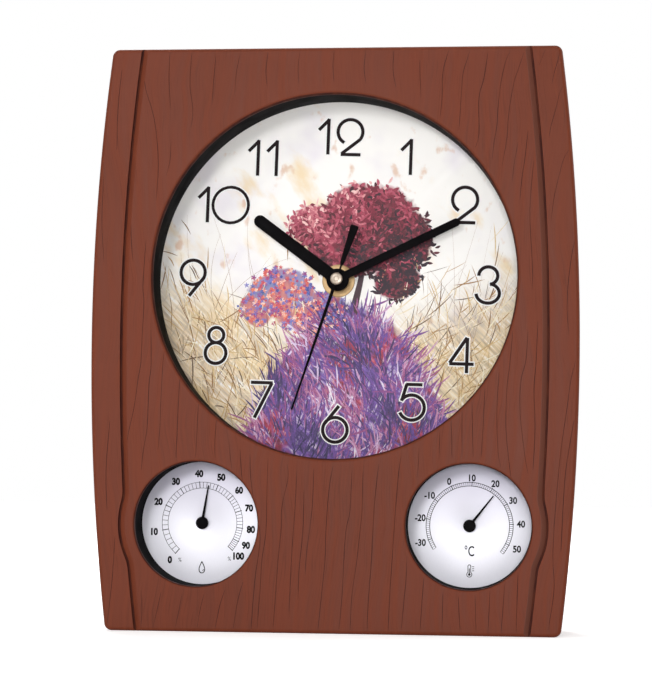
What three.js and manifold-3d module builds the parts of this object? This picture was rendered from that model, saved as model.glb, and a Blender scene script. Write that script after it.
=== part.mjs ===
// Wall clock with two weather gauges, built as separate pieces in millimetres.
// World frame: +X to the viewer's right, +Z up, the dial looks along -Y.
// The origin is at the middle of the casing's depth and width, on its flat bottom.

import * as THREE from 'three';
import { mergeVertices } from 'three/addons/utils/BufferGeometryUtils.js';
import Module from 'manifold-3d';

const wasm = await Module();
wasm.setup();

// Fits shared by the whole clock

const seatGap = 0.3;              // between two pieces that touch on the real clock
const runningGap = 0.4;           // between a piece that turns and its neighbour
const cutOverrun = 1;             // how far a cutter runs past the face that it leaves by

// Casing

const topMargin = 24.3;           // from the main opening up to the casing's top
const bottomMargin = 23;          // from a gauge's opening down to the base
const sideMargin = 31.6;          // from the main opening to a side, where the casing is widest
const gaugeSideMargin = 22;       // the least from a gauge's opening to the widest line
const sideArcRadius = 1208;       // the sides bow like a barrel
const casingCorner = 4;
const frontEdgeRound = 2;
const frontWall = 3;
const sideWall = 2.6;

// Main opening and the parts stacked behind it, all on one centre

const mainOpeningRadius = 93.6;
const mainLipRound = 2;
const lensOverlap = 3.9;          // how far the lens reaches behind the lip
const lensThickness = 2;
const wellWall = 2;
const dialRingSight = 1.1;        // the black ring stands back from the lip by this
const dialDepth = 31;             // from the front of the casing to the printed dial
const dialThickness = 1.5;
const dialRim = 5.2;              // how far the dial board laps over the well's wall
const dialScrewBossRadius = 3.2;
const dialScrewCount = 4;

// Gauges: a hygrometer on the left, a thermometer on the right

const gaugesApart = 75.5;         // between the edges of the two openings
const gaugeToDial = 4.08;         // between a gauge's well and the dial board
const gaugeOpeningRadius = 31.75;
const gaugeLipRound = 1.3;
const gaugeLensOverlap = 2.15;
const gaugeLensThickness = 1.5;
const gaugeWellWall = 1.8;
const gaugeCupWall = 1.8;
const gaugeCupFloor = 1.2;
const gaugeCupLedge = 2.4;        // the step that carries the face
const gaugeFaceDepth = 23.3;
const gaugeFaceThickness = 0.8;
const gaugeSpiralRoom = 5.4;      // between the face and the cup's floor
const gaugeClampThickness = 1.3;
const gaugeClampBore = 24;
const gaugeVentRadius = 1.6;
const gaugeVentCircle = 14;
const gaugeVentCount = 6;

const needleLength = 19.8;
const needleBaseWidth = 1.2;
const needleTipWidth = 0.5;
const needleThickness = 0.5;
const needleHubRadius = 3.25;
const needleHubHeight = 1.6;
const needleLift = 0.7;           // the hub's clearance over the face
const spindleRadius = 0.6;
const colletRadius = 1.8;
const colletLength = 3;
const spiralStripWidth = 2.4;
const spiralStripThickness = 0.35;
const spiralOuterRadius = 21;
const spiralPostRadius = 1.2;
const spiralTurns = 3;
const spiralStepsPerTurn = 14;

const hygrometerReading = THREE.MathUtils.degToRad(9.2);    // clockwise from upright
const thermometerReading = THREE.MathUtils.degToRad(38.2);

// Two grooves run down the front, each bowing out round a gauge

const grooveInset = 15.9;         // from the casing's side to the groove's deepest line
const grooveBowGap = 3.4;         // between a gauge's well and the bow's deepest line
const grooveDepth = 1.5;
const grooveSlopeWidth = 2.6;     // the gentle side, towards the middle
const grooveSteepWidth = 0.5;     // the steep side, towards the edge

// Back

const rearCoverThickness = 2.5;
const rearCoverRecess = 3.3;      // from the wall plane to the cover's outer face
const movementRecess = 1.7;       // from the wall plane to the movement's back
const coverBossRadius = 4;
const coverBossInset = 11.5;      // from the casing's side
const coverBossEndInset = 12;     // from the casing's top or base
const coverBossMiddleRise = -20;  // above mid-height
const coverScrewShank = 1.3;
const coverScrewHead = 3.1;
const coverScrewHeadHeight = 1.9;
const coverScrewLength = 10;
const smallScrewShank = 1.1;
const smallScrewHead = 2.4;
const smallScrewHeadHeight = 1.4;
const smallScrewLength = 6;
const screwSlotWidth = 0.7;
const screwCrownShare = 0.75;     // a head's flat crown, as a share of its width
const ventSlotWidth = 3;
const ventSlotLength = 24;
const ventSlotPitch = 8;
const ventSlotCount = 4;

const hangerFall = 32;            // from the casing's top to the keyhole's round end
const hangerWidth = 36;
const hangerHeight = 26;
const hangerThickness = 1.2;
const hangerCorner = 3;
const hangerScrewSpread = 13.5;
const keyholeHeadRadius = 4.6;
const keyholeSlotWidth = 4.8;
const keyholeSlotRise = 8;        // from the round hole's centre to the slot's end
const keyholeRoom = 2.5;          // clear cut in the cover around the keyhole

// Hands and the bush that they turn in

const bushRadius = 3.95;
const bushBore = 2.8;
const bushReach = 4.8;            // in front of the dial
const washerRadius = 8.6;
const washerThickness = 0.8;
const nutAcrossFlats = 10;
const nutThickness = 2.6;
const handStep = 2.8;             // from one hand to the next
const handThickness = 0.6;
const hourHandLift = 6.2;         // from the dial to the back of the hour hand
const hourHandLength = 54.6;
const hourHandWidth = 6.4;
const hourHubRadius = 5.9;
const minuteHandLength = 70.6;
const minuteHandWidth = 4.2;
const minuteHubRadius = 5.4;
const secondHandLength = 72;
const secondHandBaseWidth = 1.8;
const secondHandTipWidth = 0.9;
const secondHubRadius = 2.6;
const secondTailLength = 29.5;
const secondTailEndWidth = 3.8;
const secondTailNeckWidth = 1;
const secondTailNeckLength = 7;
const secondTailShoulderWidth = 2.2;
const capRadius = 3.2;
const capHeight = 1.4;
const minuteTubeRadius = 1.65;
const hourTubeRadius = 2.5;
const hourTubeBore = 1.95;
const secondArborRadius = 0.5;

const hourHandTurn = THREE.MathUtils.degToRad(306.9);       // clockwise from twelve
const minuteHandTurn = THREE.MathUtils.degToRad(64.3);
const secondHandTurn = THREE.MathUtils.degToRad(198.6);

// Quartz movement, a flat box behind the dial, measured from the hands' axis

const movementTop = 22;
const movementBottom = -34;
const movementWall = 1.2;
const movementDepth = 15.5;
const movementCoverThickness = 1.2;
const bayWallTop = -15.6;         // the wall between the wheels and the battery
const bayWallThickness = 1;
const wheelThickness = 0.9;
const layerGap = 0.4;
const bridgeTop = 18.2;
const bridgeBottom = -12.5;
const bridgeLeft = -20;
const bridgeRight = 25;
const arborRadius = 0.5;
const pivotEntry = 0.7;           // how far an arbor's end sits in its hole
const settingShaftRadius = 1;
const knobRadius = 4.6;
const knobHeight = 0.9;
const knobRidges = 14;
const knobRidgeDepth = 0.4;

// Wheels and pinions: tooth counts, and the distance between each pair of axes

const centreTeeth = 48;
const cannonTeeth = 8;
const thirdTeeth = 45;
const thirdPinionTeeth = 6;
const secondTeeth = 30;
const secondPinionTeeth = 6;
const intermediateTeeth = 36;
const intermediatePinionTeeth = 6;
const rotorPinionTeeth = 6;
const settingTeeth = 24;
const settingPinionTeeth = 8;
const hourTeeth = 32;
const thirdDistance = 10.2;
const intermediateDistance = 8.4;
const rotorDistance = 8.4;
const settingDistance = 11.04;
const thirdBearing = THREE.MathUtils.degToRad(35);
const intermediateBearing = THREE.MathUtils.degToRad(105);
const rotorBearing = THREE.MathUtils.degToRad(180);
const settingBearing = THREE.MathUtils.degToRad(215);

// A tooth's proportions, as shares of its module or of its pitch
const addendumShare = 0.75;
const dedendumShare = 1.1;
const toothRootShare = 0.5;

// Stepping motor and electronics

const rotorMagnetRadius = 2.6;
const rotorMagnetHeight = 2;
const statorThickness = 1.2;
const statorHalfWidth = 5;
const statorArmWidth = 3;
const statorTop = 17.2;
const statorBottom = 0.7;
const statorLayerShare = 7.4;     // in layers of wheels behind the front plate
const coilAcross = -23;
const coilCoreWidth = 2;
const coilCoreThickness = 1.2;
const coilBobbinWall = 0.4;
const coilFlangeRadius = 3.4;
const coilFlangeThickness = 0.6;
const coilWindingRadius = 3.1;
const postAcross = -17.5;
const postRadius = 1.3;
const postShoulderRadius = 1.9;
const boardLeft = 6;
const boardRight = 25.5;
const boardTop = -5.5;
const boardBottom = -14;
const boardThickness = 1;
const boardPostInset = 2.5;
const crystalRadius = 1;
const crystalLength = 6;
const crystalAcross = 14.5;
const crystalUp = -8;
const chipSize = 4;
const chipThickness = 0.8;
const chipAcross = 18.5;

const batteryRadius = 7.1;
const batteryLength = 50.5;
const batteryNubRadius = 2.75;
const batteryNubLength = 1;
const batteryEdgeRound = 0.6;
const contactWidth = 9;
const contactHeight = 8;
const contactThickness = 0.4;
const contactRoom = 0.85;         // between a contact and the end of the box

// Facets round each circle, and steps along other curves
const mainSides = 60;
const gaugeSides = 36;
const mediumSides = 20;
const smallSides = 8;
const lipSteps = 2;
const sideSteps = 10;
const cornerSteps = 2;
const bowSteps = 14;              // along a groove's bow
const straightSteps = 7;          // along the rest of a groove
const handEndSteps = 6;
const nutSides = 6;

// Sizes that follow from the ones above

const lensDepth = frontWall + seatGap;
const lensRadius = mainOpeningRadius + lensOverlap;
const wellBore = lensRadius + seatGap;
const wellRadius = wellBore + wellWall;
const dialRingDepth = lensDepth + lensThickness + seatGap;
const dialBackDepth = dialDepth + dialThickness;
const dialRadius = wellRadius + dialRim;
const dialScrewCircle = wellRadius + dialRim / 2 - seatGap;
const gaugeLensDepth = frontWall + seatGap;
const gaugeLensRadius = gaugeOpeningRadius + gaugeLensOverlap;
const gaugeWellBore = gaugeLensRadius + seatGap;
const gaugeWellRadius = gaugeWellBore + gaugeWellWall;
const gaugeSpread = gaugesApart / 2 + gaugeOpeningRadius;
const gaugeToCentre = dialRadius + gaugeToDial + gaugeWellRadius;
const gaugeFall = Math.sqrt(gaugeToCentre ** 2 - gaugeSpread ** 2);
const gaugeCupDepth = gaugeLensDepth + gaugeLensThickness + seatGap;
const gaugeCupBore = gaugeLensRadius - gaugeCupWall;
const gaugeFaceBack = gaugeFaceDepth + gaugeFaceThickness;
const gaugeCupFloorDepth = gaugeFaceBack + seatGap + gaugeSpiralRoom;
const gaugeCupBack = gaugeCupFloorDepth + gaugeCupFloor;
const casingHalfWidth = Math.max(
  mainOpeningRadius + sideMargin,
  gaugeSpread + gaugeOpeningRadius + gaugeSideMargin,
);
const casingHeight = topMargin + mainOpeningRadius + gaugeFall + gaugeOpeningRadius + bottomMargin;
const halfHeight = casingHeight / 2;
const mainCentreUp = halfHeight - topMargin - mainOpeningRadius;      // above mid-height
const gaugeDrop = halfHeight - bottomMargin - gaugeOpeningRadius;     // below mid-height
const grooveBowRadius = gaugeWellRadius + grooveBowGap;
const coverBossEndRise = halfHeight - coverBossEndInset;
const hangerRise = halfHeight - hangerFall;
const movementFrontDepth = dialBackDepth + seatGap;
const movementInnerDepth = movementFrontDepth + movementWall;
const movementBackDepth = movementFrontDepth + movementDepth;
const movementCoverDepth = movementBackDepth - movementCoverThickness;
const movementHalfWidth = batteryLength / 2 + seatGap + contactThickness + contactRoom + movementWall;
const casingDepth = movementBackDepth + movementRecess;
const coverBackDepth = casingDepth - rearCoverRecess;
const coverFrontDepth = coverBackDepth - rearCoverThickness;
const layerPitch = wheelThickness + layerGap;
const hourHandDepth = dialDepth - hourHandLift;
const minuteHandDepth = hourHandDepth - handStep;
const secondHandDepth = minuteHandDepth - handStep;
const capDepth = secondHandDepth - handThickness - seatGap;

// Materials

const finish = (color, roughness, metalness = 0, opacity = 1) =>
  new THREE.MeshStandardMaterial({ color, roughness, metalness, opacity, transparent: opacity < 1 });

const woodBrown = finish(0x7f4b38, 0.5);
const blackPlastic = finish(0x171416, 0.45);
const coverPlastic = finish(0x26211f, 0.6);
const clearLens = finish(0xeaf2f4, 0.05, 0, 0.25);
const dialPaper = finish(0xefe6da, 0.7);
const silverFace = finish(0xd8d6dc, 0.4, 0.3);
const handBlack = finish(0x121112, 0.4);
const capGold = finish(0xe6d9b0, 0.3, 0.6);
const brass = finish(0xc4a25a, 0.35, 0.9);
const steel = finish(0xb9bbbe, 0.35, 0.9);
const wheelPlastic = finish(0xe8e4da, 0.6);
const movementBlack = finish(0x1c1c1e, 0.55);
const magnetGrey = finish(0x4a4a4e, 0.4, 0.8);
const copper = finish(0xb66a33, 0.4, 0.8);
const boardGreen = finish(0x2f6b3c, 0.6);
const batteryBlue = finish(0x34506e, 0.4, 0.2);

// Shapes and solids

const vector = (x, y) => new THREE.Vector2(x, y);

// Points of a regular polygon that stands for a circle, anticlockwise.
function circle(radius, sides, across = 0, up = 0) {
  return Array.from({ length: sides }, (_, i) => {
    const turn = 2 * Math.PI * i / sides;
    return vector(across + radius * Math.cos(turn), up + radius * Math.sin(turn));
  });
}

function rectangle(left, bottom, right, top) {
  return [vector(left, bottom), vector(right, bottom), vector(right, top), vector(left, top)];
}

function roundedRectangle(width, height, corner, across = 0, up = 0) {
  const points = [];
  const reach = [[1, 1], [-1, 1], [-1, -1], [1, -1]];
  reach.forEach(([sx, sy], quarter) => {
    for (let i = 0; i <= cornerSteps; i += 1) {
      const turn = (quarter + i / cornerSteps) * Math.PI / 2;
      points.push(vector(
        across + sx * (width / 2 - corner) + corner * Math.cos(turn),
        up + sy * (height / 2 - corner) + corner * Math.sin(turn),
      ));
    }
  });
  return points;
}

// Turns a closed geometry into a solid that can be cut and joined.
function solid(geometry) {
  geometry.deleteAttribute('normal');
  geometry.deleteAttribute('uv');
  const merged = mergeVertices(geometry);
  const corners = merged.index.array;
  const kept = [];
  for (let i = 0; i < corners.length; i += 3) {
    const [a, b, c] = [corners[i], corners[i + 1], corners[i + 2]];
    if (a !== b && b !== c && c !== a) kept.push(a, b, c);
  }
  return new wasm.Manifold(new wasm.Mesh({
    numProp: 3,
    vertProperties: merged.attributes.position.array,
    triVerts: new Uint32Array(kept),
  }));
}

// A flat plate of the given outline, from z = bottom upwards.
function plate(outline, holes, thickness, bottom = 0) {
  const shape = new THREE.Shape(outline);
  shape.holes = holes.map((hole) => new THREE.Path(hole));
  const geometry = new THREE.ExtrudeGeometry(shape, { depth: thickness, bevelEnabled: false });
  return solid(geometry.translate(0, 0, bottom));
}

const disc = (radius, sides, thickness, bottom = 0) => plate(circle(radius, sides), [], thickness, bottom);

const tube = (radius, bore, sides, thickness, bottom = 0) =>
  plate(circle(radius, sides), [circle(bore, sides)], thickness, bottom);

// A turned piece: [radius, height] pairs, up the outside and down the inside.
function turned(profile, sides) {
  const points = profile.map(([radius, height]) => vector(radius, height));
  if (profile[0][0] > 0) points.push(points[0].clone());
  return solid(new THREE.LatheGeometry(points, sides).rotateX(Math.PI / 2));
}

// A skin over rings of points of equal count, with both ends closed by a fan.
function loft(rings) {
  const count = rings[0].length;
  const positions = rings.flat().flatMap((point) => point.toArray());
  const index = [];
  for (let r = 0; r + 1 < rings.length; r += 1) {
    for (let i = 0; i < count; i += 1) {
      const a = r * count + i;
      const b = r * count + (i + 1) % count;
      index.push(a, b, a + count, b, b + count, a + count);
    }
  }
  const last = (rings.length - 1) * count;
  for (let i = 1; i + 1 < count; i += 1) {
    index.push(0, i + 1, i);
    index.push(last, last + i, last + i + 1);
  }
  const geometry = new THREE.BufferGeometry();
  geometry.setAttribute('position', new THREE.Float32BufferAttribute(positions, 3));
  geometry.setIndex(index);
  return solid(geometry);
}

const at = (piece, across, up, lift = 0) => piece.translate([across, up, lift]);

// The clock as seen from the front: x to the right, y up, z towards the viewer
const clock = new THREE.Group();
const faceOn = new THREE.Group();
faceOn.rotation.x = Math.PI / 2;
faceOn.position.z = halfHeight;
clock.add(faceOn);

// Adds a piece whose solid starts at z = 0, with that back face at a depth behind the front.
function addPiece(name, piece, material, place) {
  const { vertProperties, triVerts } = piece.getMesh();
  const geometry = new THREE.BufferGeometry();
  geometry.setAttribute('position', new THREE.BufferAttribute(new Float32Array(vertProperties), 3));
  geometry.setIndex(new THREE.BufferAttribute(new Uint32Array(triVerts), 1));
  geometry.computeVertexNormals();
  const mesh = new THREE.Mesh(geometry, material);
  mesh.name = name;
  mesh.position.set(place.across ?? 0, place.up ?? 0, casingDepth / 2 - place.depth);
  mesh.rotation.z = place.turn ?? 0;
  faceOn.add(mesh);
}

// Casing outline

function halfWidthAt(rise, inset = 0) {
  const radius = sideArcRadius - inset;
  return casingHalfWidth - inset - (radius - Math.sqrt(radius * radius - rise * rise));
}

// The barrel outline drawn in by an inset, anticlockwise from the lower right corner.
function casingOutline(inset) {
  const corner = Math.max(casingCorner - inset, frontEdgeRound / 2);
  const top = halfHeight - inset;
  const arcEnd = top - corner;
  const right = [];
  for (let i = 0; i <= cornerSteps; i += 1) {
    const turn = Math.PI / 2 * (i / cornerSteps - 1);
    right.push(vector(
      halfWidthAt(arcEnd, inset) - corner + corner * Math.cos(turn),
      -arcEnd + corner * Math.sin(turn),
    ));
  }
  for (let i = 1; i < sideSteps; i += 1) {
    const rise = arcEnd * (2 * i / sideSteps - 1);
    right.push(vector(halfWidthAt(rise, inset), rise));
  }
  for (let i = 0; i <= cornerSteps; i += 1) {
    const turn = Math.PI / 2 * (i / cornerSteps);
    right.push(vector(
      halfWidthAt(arcEnd, inset) - corner + corner * Math.cos(turn),
      arcEnd + corner * Math.sin(turn),
    ));
  }
  const left = right.map((point) => vector(-point.x, point.y)).reverse();
  return [...right, ...left];
}

// Grooves: where a line at an offset from the groove's deepest line lies, at a height.
function grooveAcross(rise, offset) {
  const alongSide = halfWidthAt(rise) - grooveInset - offset;
  const bow = grooveBowRadius - offset;
  const fromGauge = rise + gaugeDrop;
  if (Math.abs(fromGauge) >= bow) return alongSide;
  return Math.max(alongSide, gaugeSpread + Math.sqrt(bow * bow - fromGauge * fromGauge));
}

// Heights at which the groove is sampled: sparse above the gauge, close round its bow.
function grooveRises() {
  const end = halfHeight + cutOverrun;
  const bowTop = grooveBowRadius - gaugeDrop;
  const bowBottom = -grooveBowRadius - gaugeDrop;
  const rises = [-end];
  for (let i = 0; i <= bowSteps; i += 1) rises.push(bowBottom + (bowTop - bowBottom) * i / bowSteps);
  for (let i = 1; i <= straightSteps; i += 1) rises.push(bowTop + (end - bowTop) * i / straightSteps);
  return rises;
}

function grooveCutter(side) {
  const section = [
    [grooveSlopeWidth, cutOverrun],
    [grooveSlopeWidth, 0],
    [0, -grooveDepth],
    [-grooveSteepWidth, 0],
    [-grooveSteepWidth, cutOverrun],
  ];
  const rings = grooveRises().map((rise) => section.map(([offset, lift]) =>
    new THREE.Vector3(side * grooveAcross(rise, offset), rise, lift)));
  if (side > 0) rings.forEach((ring) => ring.reverse());
  return loft(rings);
}

// A cutter for a round opening whose lip is rounded over at the front.
function openingCutter(radius, lipRound, sides) {
  const profile = [[0, -frontWall - cutOverrun], [radius, -frontWall - cutOverrun]];
  for (let i = 0; i < lipSteps; i += 1) {
    const turn = Math.PI / 2 * i / lipSteps;
    profile.push([radius + lipRound * (1 - Math.cos(turn)), -lipRound * (1 - Math.sin(turn))]);
  }
  const [lastRadius, lastHeight] = profile.at(-1);
  const run = (radius + lipRound - lastRadius) / -lastHeight;
  profile.push([radius + lipRound + run * cutOverrun, cutOverrun], [0, cutOverrun]);
  return turned(profile, sides);
}

const gaugeCentres = [[-gaugeSpread, -gaugeDrop], [gaugeSpread, -gaugeDrop]];

const coverBossPlaces = [coverBossEndRise, coverBossMiddleRise, -coverBossEndRise].flatMap(
  (rise) => [-1, 1].map((side) => [side * (halfWidthAt(rise) - coverBossInset), rise]),
);

const dialScrewPlaces = Array.from({ length: dialScrewCount }, (_, i) => {
  const turn = 2 * Math.PI * (i + 1 / 2) / dialScrewCount;
  return [dialScrewCircle * Math.cos(turn), mainCentreUp + dialScrewCircle * Math.sin(turn)];
});

// Front frame: shell, wells for the dial and the gauges, and screw bosses

// Heights here are negative depths behind the front plane.
function frontFrame() {
  const rings = [casingOutline(0).map((p) => new THREE.Vector3(p.x, p.y, -casingDepth))];
  for (let i = 0; i <= lipSteps; i += 1) {
    const turn = Math.PI / 2 * i / lipSteps;
    const inset = frontEdgeRound * (1 - Math.cos(turn));
    const drop = -frontEdgeRound * (1 - Math.sin(turn));
    rings.push(casingOutline(inset).map((p) => new THREE.Vector3(p.x, p.y, drop)));
  }
  const hollowDepth = casingDepth - frontWall;
  let frame = loft(rings).subtract(
    plate(casingOutline(sideWall), [], hollowDepth + cutOverrun, -casingDepth - cutOverrun),
  );

  const join = frontWall / 2;     // wells and bosses start inside the front wall
  const wellEnd = dialDepth - seatGap;
  frame = frame.add(at(disc(wellRadius, mainSides, wellEnd - join, -wellEnd), 0, mainCentreUp));
  for (const [across, up] of gaugeCentres) {
    const well = disc(gaugeWellRadius, gaugeSides, gaugeCupBack - join, -gaugeCupBack);
    frame = frame.add(at(well, across, up));
  }
  for (const [across, up] of dialScrewPlaces) {
    frame = frame.add(at(disc(dialScrewBossRadius, smallSides, wellEnd - join, -wellEnd), across, up));
  }
  const bossEnd = coverFrontDepth - seatGap;
  for (const [across, up] of coverBossPlaces) {
    frame = frame.add(at(disc(coverBossRadius, smallSides, bossEnd - join, -bossEnd), across, up));
  }

  const mainBore = disc(wellBore, mainSides, wellEnd - frontWall + cutOverrun, -wellEnd - cutOverrun);
  frame = frame.subtract(at(mainBore, 0, mainCentreUp));
  frame = frame.subtract(at(openingCutter(mainOpeningRadius, mainLipRound, mainSides), 0, mainCentreUp));
  for (const [across, up] of gaugeCentres) {
    const length = gaugeCupBack - frontWall + cutOverrun;
    const bore = disc(gaugeWellBore, gaugeSides, length, -gaugeCupBack - cutOverrun);
    frame = frame.subtract(at(bore, across, up));
    frame = frame.subtract(at(openingCutter(gaugeOpeningRadius, gaugeLipRound, gaugeSides), across, up));
  }
  for (const [across, up] of dialScrewPlaces) {
    const length = smallScrewLength + seatGap + cutOverrun;
    const hole = disc(smallScrewShank + seatGap, smallSides, length, -wellEnd - cutOverrun);
    frame = frame.subtract(at(hole, across, up));
  }
  for (const [across, up] of coverBossPlaces) {
    const length = coverScrewLength + seatGap + cutOverrun;
    const hole = disc(coverScrewShank + seatGap, smallSides, length, -bossEnd - cutOverrun);
    frame = frame.subtract(at(hole, across, up));
  }
  for (const side of [-1, 1]) frame = frame.subtract(grooveCutter(side));
  return at(frame, 0, 0, casingDepth);
}

addPiece('front_frame', frontFrame(), woodBrown, { depth: casingDepth });

// Rear cover, its screws and the hanger

function rearCover() {
  const outline = casingOutline(sideWall + seatGap);
  const opening = rectangle(
    -movementHalfWidth - runningGap,
    mainCentreUp + movementBottom - runningGap,
    movementHalfWidth + runningGap,
    mainCentreUp + movementTop + runningGap,
  );
  const keyholeLeft = -keyholeHeadRadius - keyholeRoom;
  const keyholeOpening = rectangle(
    keyholeLeft,
    hangerRise + keyholeLeft,
    -keyholeLeft,
    hangerRise + keyholeSlotRise + keyholeRoom,
  );
  const holes = [opening, keyholeOpening];
  for (const [across, up] of coverBossPlaces) {
    holes.push(circle(coverScrewShank + seatGap, smallSides, across, up));
  }
  for (const side of [-1, 1]) {
    holes.push(circle(smallScrewShank + seatGap, smallSides, side * hangerScrewSpread, hangerRise));
  }
  for (const [across, up] of gaugeCentres) {
    for (let i = 0; i < ventSlotCount; i += 1) {
      const slotUp = up + (i - (ventSlotCount - 1) / 2) * ventSlotPitch;
      holes.push(roundedRectangle(ventSlotLength, ventSlotWidth, ventSlotWidth / 2, across, slotUp));
    }
  }
  return plate(outline, holes, rearCoverThickness);
}

addPiece('rear_cover', rearCover(), coverPlastic, { depth: coverBackDepth });

// A pan-head screw with a cross slot: its head's seat is at z = 0, its shank runs forward.
function screw(shankRadius, length, headRadius, headHeight) {
  const body = turned([
    [0, -headHeight],
    [headRadius * screwCrownShare, -headHeight],
    [headRadius, 0],
    [shankRadius, 0],
    [shankRadius, length - shankRadius],
    [0, length],
  ], smallSides);
  const reach = headRadius / 2;
  const half = screwSlotWidth / 2;
  const cross = plate(rectangle(-reach, -half, reach, half), [], cutOverrun + headHeight / 2)
    .add(plate(rectangle(-half, -reach, half, reach), [], cutOverrun + headHeight / 2));
  return body.subtract(at(cross, 0, 0, -headHeight - cutOverrun));
}

coverBossPlaces.forEach(([across, up], i) => {
  const piece = screw(coverScrewShank, coverScrewLength, coverScrewHead, coverScrewHeadHeight);
  addPiece(`rear_screw_${i + 1}`, piece, steel, { across, up, depth: coverBackDepth + seatGap });
});

const hangerDepth = coverBackDepth + seatGap + hangerThickness;

function hangerPlate() {
  const slotHalf = keyholeSlotWidth / 2;
  const outer = plate(roundedRectangle(hangerWidth, hangerHeight, hangerCorner), [], hangerThickness);
  const tall = hangerThickness + 2 * cutOverrun;
  const slot = plate(rectangle(-slotHalf, 0, slotHalf, keyholeSlotRise), [], tall, -cutOverrun);
  const slotEnd = at(disc(slotHalf, smallSides, tall, -cutOverrun), 0, keyholeSlotRise);
  const hole = disc(keyholeHeadRadius, mediumSides, tall, -cutOverrun);
  let piece = outer.subtract(hole.add(slot).add(slotEnd));
  for (const side of [-1, 1]) {
    const screwHole = disc(smallScrewShank + seatGap, smallSides, tall, -cutOverrun);
    piece = piece.subtract(at(screwHole, side * hangerScrewSpread, 0));
  }
  return piece;
}

addPiece('hanger_plate', hangerPlate(), steel, { up: hangerRise, depth: hangerDepth });

[-1, 1].forEach((side, i) => {
  const piece = screw(smallScrewShank, smallScrewLength, smallScrewHead, smallScrewHeadHeight);
  const place = { across: side * hangerScrewSpread, up: hangerRise, depth: hangerDepth + seatGap };
  addPiece(`hanger_screw_${i + 1}`, piece, steel, place);
});

// Lens, black ring and printed dial

addPiece('clock_lens', disc(lensRadius, mainSides, lensThickness), clearLens, {
  up: mainCentreUp,
  depth: lensDepth + lensThickness,
});

addPiece(
  'dial_ring',
  tube(lensRadius, mainOpeningRadius + dialRingSight, mainSides, dialDepth - seatGap - dialRingDepth),
  blackPlastic,
  { up: mainCentreUp, depth: dialDepth - seatGap },
);

function dialPlate() {
  const holes = [circle(bushRadius + seatGap, mediumSides)];
  for (const [across, up] of dialScrewPlaces) {
    holes.push(circle(smallScrewShank + seatGap, smallSides, across, up - mainCentreUp));
  }
  return plate(circle(dialRadius, mainSides), holes, dialThickness);
}

addPiece('dial_plate', dialPlate(), dialPaper, { up: mainCentreUp, depth: dialBackDepth });

dialScrewPlaces.forEach(([across, up], i) => {
  const piece = screw(smallScrewShank, smallScrewLength, smallScrewHead, smallScrewHeadHeight);
  addPiece(`dial_screw_${i + 1}`, piece, steel, { across, up, depth: dialBackDepth + seatGap });
});

// Washer and nut that clamp the movement to the dial

const washerBack = dialDepth - seatGap;
const nutBack = washerBack - washerThickness - seatGap;

addPiece('hub_washer', tube(washerRadius, bushRadius + seatGap, mediumSides, washerThickness), brass, {
  up: mainCentreUp,
  depth: washerBack,
});

function hubNut() {
  const acrossCorners = nutAcrossFlats / Math.cos(Math.PI / nutSides);
  const hole = circle(bushRadius + seatGap, mediumSides);
  return plate(circle(acrossCorners / 2, nutSides), [hole], nutThickness);
}

addPiece('hub_nut', hubNut(), brass, { up: mainCentreUp, depth: nutBack });

// Hands: each points up from its hub and is then turned to the hour shown

function straightHand(length, width, hubRadius, bore) {
  const half = width / 2;
  const outline = [vector(-half, 0), vector(half, 0)];
  for (let i = 0; i <= handEndSteps; i += 1) {
    const turn = Math.PI * i / handEndSteps;
    outline.push(vector(half * Math.cos(turn), length - half + half * Math.sin(turn)));
  }
  const blade = plate(outline, [], handThickness);
  const hub = disc(hubRadius, mediumSides, handThickness);
  const hole = disc(bore, mediumSides, handThickness + 2 * cutOverrun, -cutOverrun);
  return blade.add(hub).subtract(hole);
}

addPiece(
  'hour_hand',
  straightHand(hourHandLength, hourHandWidth, hourHubRadius, hourTubeRadius + seatGap),
  handBlack,
  { up: mainCentreUp, depth: hourHandDepth, turn: -hourHandTurn },
);

addPiece(
  'minute_hand',
  straightHand(minuteHandLength, minuteHandWidth, minuteHubRadius, minuteTubeRadius + seatGap),
  handBlack,
  { up: mainCentreUp, depth: minuteHandDepth, turn: -minuteHandTurn },
);

function secondHand() {
  const needle = plate([
    vector(-secondHandBaseWidth / 2, 0),
    vector(secondHandBaseWidth / 2, 0),
    vector(secondHandTipWidth / 2, secondHandLength),
    vector(-secondHandTipWidth / 2, secondHandLength),
  ], [], handThickness);
  const tailEnd = secondTailEndWidth / 2;
  const corner = tailEnd / 2;
  const tail = plate([
    vector(secondTailNeckWidth / 2, 0),
    vector(-secondTailNeckWidth / 2, 0),
    vector(-secondTailNeckWidth / 2, -secondTailNeckLength),
    vector(-secondTailShoulderWidth / 2, -secondTailNeckLength - secondTailShoulderWidth),
    vector(-tailEnd, -secondTailLength + corner),
    vector(-tailEnd + corner, -secondTailLength),
    vector(tailEnd - corner, -secondTailLength),
    vector(tailEnd, -secondTailLength + corner),
    vector(secondTailShoulderWidth / 2, -secondTailNeckLength - secondTailShoulderWidth),
    vector(secondTailNeckWidth / 2, -secondTailNeckLength),
  ], [], handThickness);
  const hub = disc(secondHubRadius, mediumSides, handThickness);
  const hole = disc(secondArborRadius + seatGap, smallSides, handThickness + 2 * cutOverrun, -cutOverrun);
  return needle.add(tail).add(hub).subtract(hole);
}

addPiece('second_hand', secondHand(), handBlack, {
  up: mainCentreUp,
  depth: secondHandDepth,
  turn: -secondHandTurn,
});

function secondHandCap() {
  const bore = secondArborRadius + seatGap;
  return turned([
    [bore, 0],
    [capRadius, 0],
    [capRadius, capHeight / 2],
    [capRadius * Math.cos(Math.PI / 6), capHeight * Math.cos(Math.PI / 6)],
    [0, capHeight],
    [0, capHeight / 2],
    [bore, capHeight / 2],
    [bore, 0],
  ], mediumSides);
}

addPiece('second_hand_cap', secondHandCap(), capGold, { up: mainCentreUp, depth: capDepth });

// Gauges

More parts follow.
